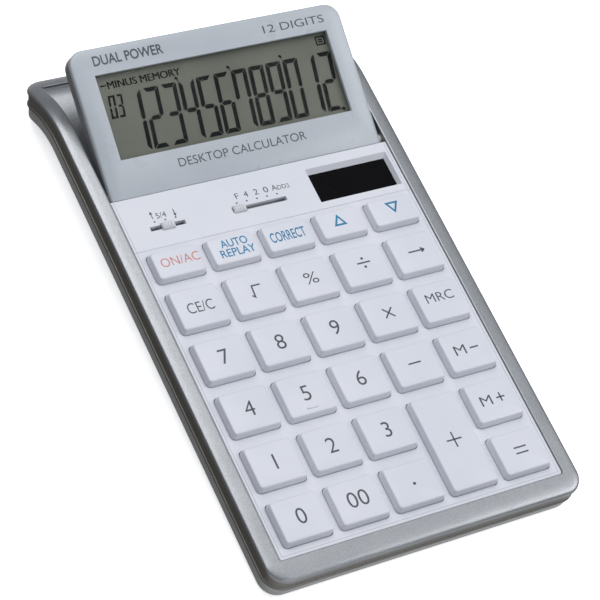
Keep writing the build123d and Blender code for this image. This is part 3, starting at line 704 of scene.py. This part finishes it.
def print_words(name, text, cap, x, base, width=None, surface=0.0, weight=0.0):
    """Text as a thin solid, its capitals cap high, resting on a baseline, and width wide if that is given."""
    bpy.ops.object.select_all(action="DESELECT")
    bpy.ops.object.text_add(location=(0, 0, 0))
    words = bpy.context.object
    words.data.body = text
    words.data.align_x = "CENTER"
    words.data.resolution_u = 6
    words.data.extrude = 0.01
    words.data.offset = weight
    bpy.ops.object.convert(target="MESH")
    words = bpy.context.object
    words.name = words.data.name = name
    pick(words, "FACE", lambda face: True)
    bpy.ops.mesh.remove_doubles(threshold=1e-5)
    bpy.ops.mesh.normals_make_consistent(inside=False)
    leave_edit()
    corners = [v.co for v in words.data.vertices]
    low_x, high_x = min(c.x for c in corners), max(c.x for c in corners)
    tall = cap / CAPITAL
    wide = width / (high_x - low_x) if width else tall
    words.data.transform(Matrix.Translation((x, base, surface + INK_LIFT - INK_DEPTH / 2))
                         @ Matrix.Diagonal((wide, tall, INK_DEPTH / 0.02, 1))
                         @ Matrix.Translation((-(low_x + high_x) / 2, 0, 0)))
    return words


# %% The height of a capital in the text font
CAPITAL = 1.0
trial = print_words("trial", "H", 1.0, 0, 0)
CAPITAL = max(v.co.y for v in trial.data.vertices)
bpy.data.objects.remove(trial)
print("capital height", round(CAPITAL, 3))


# %% Draw strokes
def offset_line(points, side, closed):
    """A line beside another, mitred at its corners."""
    line = []
    count = len(points)
    for i, point in enumerate(points):
        before = points[i - 1] if i or closed else None
        after = points[(i + 1) % count] if i + 1 < count or closed else None
        normals = []
        for a, b in ((before, point), (point, after)):
            if a is not None and b is not None:
                along = (Vector(b) - Vector(a)).normalized()
                normals.append(Vector((-along.y, along.x)))
        mitre = sum(normals, Vector((0, 0))).normalized()
        line.append(Vector(point) + mitre * side / max(mitre.dot(normals[0]), 0.3))
    return line


def draw_strokes(name, strokes, width, x, y, surface=0.0):
    """Strokes, each a list of points (closed if its first point comes again), as thin solids."""
    sheet = bmesh.new()
    for points in strokes:
        closed = points[0] == points[-1] and len(points) > 2
        points = points[:-1] if closed else points
        left, right = offset_line(points, width / 2, closed), offset_line(points, -width / 2, closed)
        for i in range(len(points) - (0 if closed else 1)):
            j = (i + 1) % len(points)
            corners = [right[i], right[j], left[j], left[i]]
            sheet.faces.new([sheet.verts.new((c.x, c.y, 0)) for c in corners])
    bmesh.ops.remove_doubles(sheet, verts=sheet.verts, dist=1e-4)
    return thicken_sheet(sheet, name, surface, x, y)


def thicken_sheet(sheet, name, surface, x=0.0, y=0.0):
    """A flat sheet of outlines as a solid film of ink, its top just above a surface."""
    bmesh.ops.recalc_face_normals(sheet, faces=sheet.faces)
    mesh = bpy.data.meshes.new(name)
    sheet.to_mesh(mesh)
    sheet.free()
    sign = bpy.data.objects.new(name, mesh)
    bpy.context.scene.collection.objects.link(sign)
    select_only(sign)
    if sign.data.polygons[0].normal.z < 0:
        sign.data.flip_normals()
    film = sign.modifiers.new("film", "SOLIDIFY")
    film.thickness, film.offset = INK_DEPTH, -1
    bpy.ops.object.modifier_apply(modifier=film.name)
    sign.data.transform(Matrix.Translation((x, y, surface + INK_LIFT)))
    return sign


def ring(radius, sides, x=0.0, y=0.0):
    """Points round a circle, the first again at the end."""
    points = [(x + radius * cos(2 * pi * i / sides), y + radius * sin(2 * pi * i / sides))
              for i in range(sides)]
    return points + points[:1]


# %% Words on the keys: text, ink, capital height, width, and where the baseline's middle is
DIGIT_CAP = 4.9
BOLD, FINE = 0.012, -0.004
key_words = {
    "key_on_ac": [("ON/AC", "red_ink", 2.95, 12.9, -37.15, 104.2)],
    "key_auto_replay": [("AUTO", "blue_ink", 2.6, 9.2, -18.2, 105.9),
                        ("REPLAY", "blue_ink", 2.6, 11.8, -18.1, 102.6)],
    "key_correct": [("CORRECT", "blue_ink", 3.3, 12.2, -0.1, 103.6)],
    "key_ce_c": [("CE/C", "legend_ink", 3.5, 8.7, -37.85, 87.2)],
    "key_percent": [("%", "legend_ink", 3.9, 4.6, 0.3, 87.2)],
    "key_mrc": [("MRC", "legend_ink", 3.1, 9.8, 38.1, 70.9)],
    "key_m_minus": [("M", "legend_ink", 3.3, 3.9, 35.6, 51.7)],
    "key_m_plus": [("M", "legend_ink", 3.3, 3.9, 35.4, 33.5)],
    "key_00": [("00", "legend_ink", DIGIT_CAP, 6.9, None, None)],
}
for digit in "0123456789":
    key_words[f"key_{digit}"] = [(digit, "legend_ink", DIGIT_CAP, None, None, None)]
for key, lines in key_words.items():
    middle = key_middles[key]
    for count, (text, ink, cap, width, x, base) in enumerate(lines):
        x = middle[0] if x is None else x
        base = middle[1] + 0.3 - cap / 2 if base is None else base
        words = print_words(f"{key}_legend_{count}" if count else f"{key}_legend", text, cap, x, base, width,
                            surface=KEY_TOP, weight=BOLD if ink == "blue_ink" else FINE)
        set_in_place(words, CASE_FRAME, key, "keycap", ink, smooth=0)
print(sum(len(lines) for lines in key_words.values()), "words on keys")

# %% Signs on the keys
STROKE, BOLD_STROKE = 0.5, 0.65
key_signs = {
    "key_up": ("blue_ink", -0.5, 0.9, [[(-1.75, -1.6), (1.75, -1.6), (0, 1.6), (-1.75, -1.6)]]),
    "key_down": ("blue_ink", 0.4, 1.0, [[(-1.85, 1.6), (0, -1.6), (1.85, 1.6), (-1.85, 1.6)]]),
    "key_root": ("legend_ink", 0.1, 0.3, [[(-1.7, -1.2), (-0.9, -1.9), (-0.6, 2.0), (2.3, 2.0)]]),
    "key_divide": ("legend_ink", 0.4, 0.8, [[(-2.3, 0), (2.3, 0)], ring(0.2, 10, 0, 1.5),
                                            ring(0.2, 10, 0, -1.5)]),
    "key_backspace": ("legend_ink", 0.5, 0.3, [[(-3.0, 0), (2.4, 0)], [(1.5, 0.75), (2.75, 0)],
                                               [(1.5, -0.75), (2.75, 0)]]),
    "key_multiply": ("legend_ink", 0.1, 0.4, [[(-1.65, -1.65), (1.65, 1.65)], [(-1.65, 1.65), (1.65, -1.65)]]),
    "key_minus": ("legend_ink", 0.1, 0.3, [[(-2.2, 0), (2.2, 0)]]),
    "key_plus": ("legend_ink", 0.1, 0.3, [[(-2.6, 0), (2.6, 0)], [(0, -2.6), (0, 2.6)]]),
    "key_equals": ("legend_ink", 0.3, 0.2, [[(-2.2, 0.95), (2.2, 0.95)], [(-2.2, -0.95), (2.2, -0.95)]]),
    "key_point": ("legend_ink", 0.1, -0.3, [ring(0.25, 12)]),
    "key_m_minus": ("legend_ink", 2.6, 0.25, [[(-1.5, 0), (1.5, 0)]]),
    "key_m_plus": ("legend_ink", 2.6, 0.25, [[(-1.5, 0), (1.5, 0)], [(0, -1.5), (0, 1.5)]]),
}
for key, (ink, dx, dy, strokes) in key_signs.items():
    middle = key_middles[key]
    width = BOLD_STROKE if ink == "blue_ink" else STROKE
    sign = draw_strokes(f"{key}_sign", strokes, width, middle[0] + dx, middle[1] + dy, KEY_TOP)
    set_in_place(sign, CASE_FRAME, key, "keycap", ink, smooth=0)
print(len(key_signs), "signs on keys")


# %% [markdown]
# ## The curl of the case
# The rear end of the case curls down to the desk. Bending in Blender needs care, because every layer has its own
# radius. So the long pieces are modelled flat, as if the case were unrolled, cut across where it curls, and each
# vertex is then moved by one formula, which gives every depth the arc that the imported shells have.

# %% Roll a flat piece down at the rear
CREST, BEND_START, BEND_RADIUS, BEND = 0.6, 155.6, 38.0, radians(29)
START_PER_DEPTH, RADIUS_PER_DEPTH = 0.19, 0.89
REAR_Y, REAR_Z = 185.4, -9.17
CASE_HALF, CASE_CORNER = 54.2, 6.5
CURL_CUTS = 24


def arc_of(depth):
    """Start, radius and length of the straight tail of the layer at a depth under the crest."""
    start, radius = BEND_START + START_PER_DEPTH * depth, BEND_RADIUS - RADIUS_PER_DEPTH * depth
    end_y, end_z = start + radius * sin(BEND), CREST - depth - radius * (1 - cos(BEND))
    return start, radius, (REAR_Y - end_y) * cos(BEND) - (REAR_Z - end_z) * sin(BEND)


FLAT_LENGTH = BEND_START + BEND_RADIUS * BEND + arc_of(0)[2]


def curl(point):
    """Where a point of the unrolled case comes to lie."""
    walk = point.y - BEND_START
    if walk <= 0:
        return point.copy()
    depth = CREST - point.z
    start, radius, tail = arc_of(depth)
    arc = BEND_RADIUS * BEND
    bent = start - BEND_START + radius * BEND + tail - arc_of(0)[2]
    along = walk * bent / arc if walk < arc else bent + walk - arc
    along -= start - BEND_START
    turn = min(max(along, 0) / radius, BEND)
    rest = along - radius * turn
    return Vector((point.x, start + radius * sin(turn) + rest * cos(turn),
                   point.z - radius * (1 - cos(turn)) - rest * sin(turn)))


def roll_down(piece):
    """Cuts a flat piece across the curl, then curls it."""
    pick(piece, "FACE", lambda face: True)
    bpy.ops.mesh.quads_convert_to_tris()
    for step in range(CURL_CUTS):
        bpy.ops.mesh.select_all(action="SELECT")
        bpy.ops.mesh.bisect(plane_co=(0, BEND_START - 2 + step, 0), plane_no=(0, 1, 0))
    leave_edit()
    for vertex in piece.data.vertices:
        vertex.co = curl(vertex.co)


def plan_block(name, inset, low, high, front=0.0, rear=0.0, corner=CASE_CORNER, steps=12):
    """A flat block with the case's plan, drawn in by an inset at the sides and at both ends."""
    half = CASE_HALF - inset
    block = start_cube(name, (-half, front, low), (half, FLAT_LENGTH - rear, high))
    round_edges(block, upright_edge, corner, steps)
    return block


print("flat length", round(FLAT_LENGTH, 2))

# %% [markdown]
# ## The silver frame
# The frame is a moulded ring in metallic paint. Its outer edge rolls over in a soft curve and its top is slightly
# crowned, which is what makes the left rail flash. It is grown inwards and upwards from its outer wall by a row
# of insets, and the opening for the panels is then cut out.

# %% Grow the frame, open it and curl it
OPENING_SIDE, OPENING_FRONT, OPENING_REAR, OPENING_CORNER = 5.1, 6.8, 5.0, 0.8
FRAME_FOOT, FRAME_EDGE = -0.9, -0.45
CROWN = [(0.08, 0.30), (0.14, 0.22), (0.22, 0.17), (0.36, 0.14), (0.50, 0.10), (0.70, 0.06), (1.0, 0.04),
         (1.34, 0.02)]
silver = plan_block("frame_ring", 0, FRAME_FOOT, FRAME_EDGE)
rise_inwards(silver, FRAME_EDGE, CROWN)
pick(silver, "FACE", lambda face: len(face.verts) > 4)
bpy.ops.mesh.quads_convert_to_tris()
leave_edit()
opening = plan_block("opening", OPENING_SIDE, -3, 3, OPENING_FRONT, OPENING_REAR, OPENING_CORNER, 4)
cut_with(silver, opening)
inner_half, inner_rear = CASE_HALF - OPENING_SIDE + 0.02, FLAT_LENGTH - OPENING_REAR + 0.02
round_edges(silver, lambda edge: all(
    v.co.z > 0.3 and abs(v.co.x) < inner_half and OPENING_FRONT - 0.02 < v.co.y < inner_rear
    for v in edge.verts), 0.3, 3)
roll_down(silver)
set_in_place(silver, CASE_FRAME, "case", "silver_frame", nodes=("top_frame",), smooth=32)
print("frame", len(silver.data.polygons), "faces")

# %% [markdown]
# ## The side wall
# Below the frame the wall steps in, which draws a dark line all round, swells a little, and ends in a fine ridge
# at the joint with the tray. The wall is grown upwards from that ridge, and then hollowed like the real moulding:
# a ledge for the panels, the opening of the display's well, and the space inside.

# %% Grow the wall, hollow it and curl it
RIDGE_FOOT, RIDGE_TOP = -5.6, -5.05
SWELL = [(0.08, 0.1), (0.22, 0.12), (0.08, 0.4), (0.0, 0.5), (-0.06, 0.9), (-0.06, 0.8), (0.0, 0.5), (0.1, 0.3),
         (0.25, 0.12), (0.05, 0.41)]
wall = plan_block("wall", 0.0, RIDGE_FOOT, RIDGE_TOP)
rise_inwards(wall, RIDGE_TOP, SWELL)
PANEL_SEAT, DECK, LEDGE, WALL_THICKNESS, WELL_FRONT = -1.6, -2.9, 1.2, 1.6, 129.55
BELOW, ABOVE = -20, 5
for cutter in (plan_block("ledge_cut", OPENING_SIDE + LEDGE, BELOW, ABOVE, OPENING_FRONT + LEDGE, OPENING_REAR,
                          OPENING_CORNER, 3),
               plan_block("seat_cut", OPENING_SIDE, PANEL_SEAT, ABOVE, OPENING_FRONT, OPENING_REAR,
                          OPENING_CORNER, 3),
               plan_block("well_cut", 3.6, BELOW, PANEL_SEAT + 0.03, WELL_FRONT, 3.2, 2.0, 4),
               plan_block("hollow_cut", WALL_THICKNESS, BELOW, DECK, WALL_THICKNESS, WALL_THICKNESS,
                          CASE_CORNER - WALL_THICKNESS, 10)):
    cut_with(wall, cutter)
pick(wall, "EDGE", lambda edge: True)
bpy.ops.mesh.remove_doubles(threshold=0.002)
leave_edit()
pick(wall, "EDGE", lambda edge: edge.is_boundary)
bpy.ops.mesh.fill_holes(sides=12)
leave_edit()
roll_down(wall)
CASE_SCREWS = [(side * 49.6, y) for side in (-1, 1) for y in (20.0, 70.0, 122.0)]
BOSS_RADIUS, BOSS_FOOT, HOLE_RADIUS = 2.1, -8.4, 0.9
for x, y in CASE_SCREWS:
    boss = start_disc("boss", BOSS_RADIUS, BOSS_FOOT, DECK + 0.5, x, y, 24)
    cut_with(boss, start_disc("hole", HOLE_RADIUS, BOSS_FOOT - 0.6, DECK - 0.2, x, y, 16))
    soften(boss, 0.15, 2)
    join_into(wall, boss)
set_in_place(wall, CASE_FRAME, "case", "side_wall", nodes=("upper_shell",), smooth=30)
print("wall", len(wall.data.polygons), "faces")

# %% [markdown]
# ## Smoothed copies of packed shells
# The tray, the feet, the screws and the back of the display already have their true shapes, but they come as
# loose facets. A copy is welded and shaded smooth where its faces meet at a shallow angle, so that fillets look
# round. Its normals are weighted by area, so that a large flat face stays even up to its edge. The copy then
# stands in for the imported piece.

# %% Weld, shade and replace
def smoothed_copy(node, body, slot, finish=None):
    """A welded, smoothly shaded copy of a CAD node that replaces it."""
    piece = frame["nodes"][node].copy()
    piece.data = frame["nodes"][node].data.copy()
    piece.parent = None
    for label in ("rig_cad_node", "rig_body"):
        if label in piece:
            del piece[label]
    piece.name = piece.data.name = f"{node}_smooth"
    piece.matrix_world = Matrix.Identity(4)
    bpy.context.scene.collection.objects.link(piece)
    select_only(piece)
    pick(piece, "FACE", lambda face: True)
    bpy.ops.mesh.remove_doubles(threshold=1e-6)
    leave_edit()
    set_in_place(piece, Matrix.Identity(4), body, slot, finish, (node,), smooth=30)
    select_only(piece)
    even = piece.modifiers.new("even_shading", "WEIGHTED_NORMAL")
    even.keep_sharp = True
    bpy.ops.object.modifier_apply(modifier=even.name)
    return piece


for node in ("lower_shell", "rubber_feet", "case_screws", "battery_door", "battery_door_screw"):
    smoothed_copy(node, "case", slot_of[node])
smoothed_copy("display_well", "case", "white_face", finish="silver_frame")
for node in ("display_back", "display_screws", "hinge_pins"):
    smoothed_copy(node, "display", slot_of[node])
print("copies made")


# %% [markdown]
# ## The display's bezel
# The bezel is a shallow lid. Its rim falls away in a wide, soft chamfer on the sides and along the far edge, and
# is cut straight at the hinge. It is grown with a row of insets from a block that reaches too far towards the
# keypad, and that end is then cut off, so the chamfer stops square at the hinge.

# %% Grow the bezel
BEZEL_HALF, BEZEL_NEAR, BEZEL_FAR = 47.9, -1.6, 46.4
BEZEL_FOOT, BEZEL_EDGE, FACE = 1.3, 2.3, 3.3
CHAMFER = [(0.08, 0.28), (0.17, 0.2), (0.28, 0.14), (0.45, 0.12), (0.9, 0.12), (0.7, 0.08), (0.4, 0.04),
           (0.3, 0.02)]
WINDOW_HALF, WINDOW_NEAR, WINDOW_FAR = 41.1, 10.5, 37.7
SPARE = 12.0
bezel = start_cube("bezel", (-BEZEL_HALF, BEZEL_NEAR - SPARE, BEZEL_FOOT), (BEZEL_HALF, BEZEL_FAR, BEZEL_EDGE))
round_edges(bezel, upright_edge, 5.0, 10)
rise_inwards(bezel, BEZEL_EDGE, CHAMFER)
pick(bezel, "FACE", lambda face: True)
bpy.ops.mesh.bisect(plane_co=(0, BEZEL_NEAR, 0), plane_no=(0, 1, 0), clear_inner=True, use_fill=True)
leave_edit()
cut_with(bezel, start_cube("window_cut", (-WINDOW_HALF, WINDOW_NEAR, -1), (WINDOW_HALF, WINDOW_FAR, 5)))
cut_with(bezel, start_cube("lid_cut", (-46.5, -0.2, 0), (46.5, BEZEL_FAR - 1.4, 2.1)))
round_edges(bezel, lambda edge: all(
    v.co.z > 3.2 and abs(v.co.x) < WINDOW_HALF + 0.02 and WINDOW_NEAR - 0.02 < v.co.y < WINDOW_FAR + 0.02
    for v in edge.verts), 0.18, 3)
round_edges(bezel, lambda edge: all(
    abs(v.co.y - BEZEL_NEAR) < 0.01 and v.co.z > 2.2 for v in edge.verts), 0.2, 3)
set_in_place(bezel, DISPLAY_FRAME, "display", "bezel", nodes=("display_bezel",), smooth=30)
print("bezel", len(bezel.data.polygons), "faces")

# %% The clear window
WINDOW_UNDERSIDE, WINDOW_TOP, WINDOW_LAP = 1.5, 2.1, 1.5
pane = start_cube("window_pane", (-WINDOW_HALF - WINDOW_LAP, WINDOW_NEAR - WINDOW_LAP, WINDOW_UNDERSIDE),
                  (WINDOW_HALF + WINDOW_LAP, WINDOW_FAR + WINDOW_LAP, WINDOW_TOP))
soften(pane, 0.12, 2)
set_in_place(pane, DISPLAY_FRAME, "display", "window", nodes=("display_window",))
print("pane", len(pane.data.polygons), "faces")

# %% [markdown]
# ## The liquid crystal digits
# Each figure has seven segments with mitred ends and thin gaps between them, leaning a little to the right. One
# set of seven outlines serves every figure. The small counter at the left is too fine for segments of its own, so
# it is drawn as strokes with the same lean.

# %% Seven segments
SEG_X, SEG_IN, SEG_Y, SEG_W = 2.72, 1.32, 9.7, 1.4
GLASS_TOP = 1.3
bar_top = [(-SEG_X + 0.35, SEG_Y), (SEG_X - 0.35, SEG_Y), (SEG_IN - 0.05, SEG_Y - SEG_W),
           (-SEG_IN + 0.05, SEG_Y - SEG_W)]
bar_middle = [(-1.75, 0), (-1.15, 0.7), (1.15, 0.7), (1.75, 0), (1.15, -0.7), (-1.15, -0.7)]
upright = [(-SEG_X, SEG_Y - 0.5), (-SEG_X, 0.55), (-2.05, 0.12), (-SEG_IN, 0.8), (-SEG_IN, SEG_Y - SEG_W - 0.12),
           (-SEG_X + 0.18, SEG_Y - 0.12)]
segments = {"a": bar_top, "g": bar_middle, "d": [(x, -y) for x, y in bar_top], "f": upright,
            "b": [(-x, y) for x, y in upright], "e": [(x, -y) for x, y in upright],
            "c": [(-x, -y) for x, y in upright]}
figures = {"0": "abcdef", "1": "bc", "2": "abged", "3": "abgcd", "4": "fgbc", "5": "afgcd", "6": "afgecd",
           "7": "fabc", "8": "abcdefg", "9": "abcdfg"}
LEAN = 0.091


def figure_outlines(figure, x, y):
    """The outlines of one figure's segments about its middle."""
    return [[(x + px + py * LEAN, y + py) for px, py in segments[letter]]
            for letter in figures[figure]]


def print_outlines(name, outlines, surface):
    """Closed outlines as thin solids."""
    sheet = bmesh.new()
    for outline in outlines:
        sheet.faces.new([sheet.verts.new((px, py, 0)) for px, py in outline])
    return thicken_sheet(sheet, name, surface)


# %% Figures and marks on the glass
FIRST_FIGURE_X, FIGURE_PITCH, FIGURE_Y = -30.75, 6.21, 21.7
COMMA = [(-0.55, 0.55), (0.1, 0.75), (0.55, 0.3), (0.55, -0.2), (0.2, -0.9), (0.05, -0.85), (0.1, -0.25),
         (-0.5, -0.05)]
outlines = []
for place, figure in enumerate("123456789012"):
    outlines += figure_outlines(figure, FIRST_FIGURE_X + FIGURE_PITCH * place, FIGURE_Y)
for x, y in ((-14.2, 32.2), (4.25, 32.4), (23.1, 32.55)):
    outlines.append([(x + px, y + py) for px, py in COMMA])
outlines.append(ring(0.62, 10, 39.6, 12.1)[:-1])
lcd_figures = print_outlines("lcd_figures", outlines, GLASS_TOP)
set_in_place(lcd_figures, DISPLAY_FRAME, "display", "lcd", "lcd_ink", smooth=0)
print(len(outlines), "outlines on the glass")

# %% Words and the counter on the glass; the words are printed three times, a little aside and higher, to be bold
WORDS_X, WORDS_BASE, WORDS_CAP, WORDS_WIDTH = -24.7, 33.25, 2.3, 25.0
lcd_words = print_words("lcd_words", "MINUS MEMORY", WORDS_CAP, WORDS_X, WORDS_BASE, WORDS_WIDTH, surface=GLASS_TOP)
for shift, lift in ((-0.1, 1 / 300), (0.1, 1 / 60)):
    join_into(lcd_words, print_words("lcd_words_again", "MINUS MEMORY", WORDS_CAP, WORDS_X + shift, WORDS_BASE,
                                     WORDS_WIDTH, surface=GLASS_TOP + lift))
lcd_box = draw_strokes("lcd_box", [
    [(-39.6, 34.5), (-37.7, 34.5)], [(37.4, 34.0), (40.4, 34.0), (40.4, 36.5), (37.4, 36.5), (37.4, 34.0)],
    [(38.1, 35.6), (39.7, 35.6)], [(38.1, 34.9), (39.7, 34.9)]], 0.5, 0, 0, GLASS_TOP)
join_into(lcd_words, lcd_box)
nought = [[(-0.8, 0.25), (-0.75, 3.3), (0.85, 3.3), (0.8, 0.25)],
          [(-0.8, -0.25), (-0.85, -3.3), (0.75, -3.3), (0.8, -0.25)]]
three = [[(-0.6, 3.3), (0.85, 3.3), (0.8, 0.25)], [(0.8, -0.25), (0.75, -3.3), (-0.8, -3.3)], [(-0.5, 0), (0.55, 0)]]
for x, strokes in ((-37.5, nought), (-35.0, three)):
    leaning = [[(px + py * LEAN, py) for px, py in stroke] for stroke in strokes]
    join_into(lcd_words, draw_strokes("counter", leaning, 0.7, x, 27.5, GLASS_TOP))
set_in_place(lcd_words, DISPLAY_FRAME, "display", "lcd", "lcd_ink", smooth=0)
print("glass words", len(lcd_words.data.polygons), "faces")

# %% Words on the bezel
for name, text, cap, x, base, width, weight in (
        ("bezel_digits_words", "12 DIGITS", 2.5, 30.2, 40.5, 22.2, 0.0),
        ("bezel_name_words", "DESKTOP CALCULATOR", 2.65, -0.2, 4.65, 45.3, 0.0),
        ("bezel_power_words", "DUAL POWER", 3.0, -28.5, 40.6, 24.0, 0.02)):
    words = print_words(name, text, cap, x, base, width, surface=FACE, weight=weight)
    set_in_place(words, DISPLAY_FRAME, "display", "bezel", "bezel_ink", smooth=0)
    print(name, len(words.data.polygons), "faces")

# %% [markdown]
# ## The control strip
# Behind the keys lie two slide switches and the solar window. The printed scale above each slot has a dot for
# every place of the knob. The knobs are tiny wedges with ribs for a fingertip.

# %% Scales above the slots
DOT_Y, WORD_BASE = 121.2, 122.5
strip_words = [("5/4", 1.9, -35.2, 122.1, 3.4), ("F", 2.0, -8.7, WORD_BASE, 1.2), ("4", 2.0, -5.6, WORD_BASE, 1.5),
               ("2", 2.0, -2.0, WORD_BASE, 1.4), ("0", 2.0, 1.5, WORD_BASE, 1.6), ("A", 2.0, 4.5, WORD_BASE, 1.9),
               ("DD2", 1.5, 7.7, WORD_BASE, 4.2)]
scale_piece = draw_strokes("strip_scale", [
    [(-38.2, 122.3), (-38.2, 124.4)], [(-38.6, 123.9), (-38.2, 124.7), (-37.8, 123.9)],
    [(-30.7, 124.2), (-30.7, 122.0)], [(-31.1, 122.6), (-30.7, 121.8), (-30.3, 122.6)],
    *[ring(0.16, 8, x, DOT_Y) for x in (-38.15, -34.5, -30.95, -9.81, -6.25, -2.65, 0.93, 4.48)]], 0.28, 0, 0)
join_into(scale_piece, *[print_words(f"scale_{i}", text, cap, x, base, width)
                         for i, (text, cap, x, base, width) in enumerate(strip_words)])
set_in_place(scale_piece, CASE_FRAME, "case", "white_face", "legend_ink", smooth=0)
print(len(strip_words), "words on the strip")

# %% Painted shade: a thin grey line along the step just inside the panels' edge, and a wider one in the gap beside the frame on the left
PANEL_HALF, PANEL_NEAR, PANEL_FAR = 48.95, 6.95, 130.2
# Painted shade in the gap beside the frame, drawn on the left side only.
edge = [(-PANEL_HALF + 0.12, PANEL_FAR), (-PANEL_HALF + 0.12, PANEL_NEAR + 0.3)]
# Painted shade of the step just inside the panels' edge, drawn as a grey line.
step = [(side * (PANEL_HALF - 0.95), y) for side, y in ((-1, PANEL_FAR), (-1, PANEL_NEAR + 0.95),
                                                        (1, PANEL_NEAR + 0.95), (1, PANEL_FAR))]
painted_shade_lines = [draw_strokes("panel_shade_lines", [line], width, 0, 0, 0.01 - INK_LIFT)
              for line, width in ((edge, 0.24), (step, 0.12))]
join_into(painted_shade_lines[0], painted_shade_lines[1])
set_in_place(painted_shade_lines[0], CASE_FRAME, "case", "white_face", "panel_shade", smooth=0)
print("panel lines", len(painted_shade_lines[0].data.polygons), "faces")

# %% Knobs
KNOB_Y = 119.0
knob = start_cube("knob", (-2.2, -1.2, 0.1), (2.2, 1.2, 0.45))
rise_inwards(knob, 0.45, [(0.15, 0.2), (0.35, 0.42), (0.12, 0.05)])
soften(knob, 0.08, 2, 25)
for x in (-0.9, 0.0, 0.9):
    rib = start_cube("rib", (x - 0.18, -0.62, 0.95), (x + 0.18, 0.62, 1.32))
    soften(rib, 0.1, 2)
    join_into(knob, rib)
neck = start_cube("neck", (-1.3, -0.55, -1.8), (1.3, 0.55, 0.2))
foot = start_cube("foot", (-2.5, -1.8, -2.6), (2.5, 1.8, -1.75))
soften(foot, 0.2, 2)
join_into(knob, neck, foot)
for node, x in (("rounding_knob", -34.5), ("decimal_knob", -9.8)):
    set_in_place(copy_of(knob, f"{node}_cap"), CASE_FRAME @ Matrix.Translation((x, KNOB_Y, 0)), node, "slide_knob",
                 nodes=(node,), smooth=30)
bpy.data.objects.remove(knob)
print("strip done")

# %% [markdown]
# ## Size and finish
# The dressed model has to stay within the imported model's box. Both boxes are written out and printed.

# %% Write both boxes and finish
json.dump({"cad": [list(c) for c in cad_box], "visual": [list(c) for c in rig.bounds()]},
          open("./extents.json", "w"))
print(open("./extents.json").read())
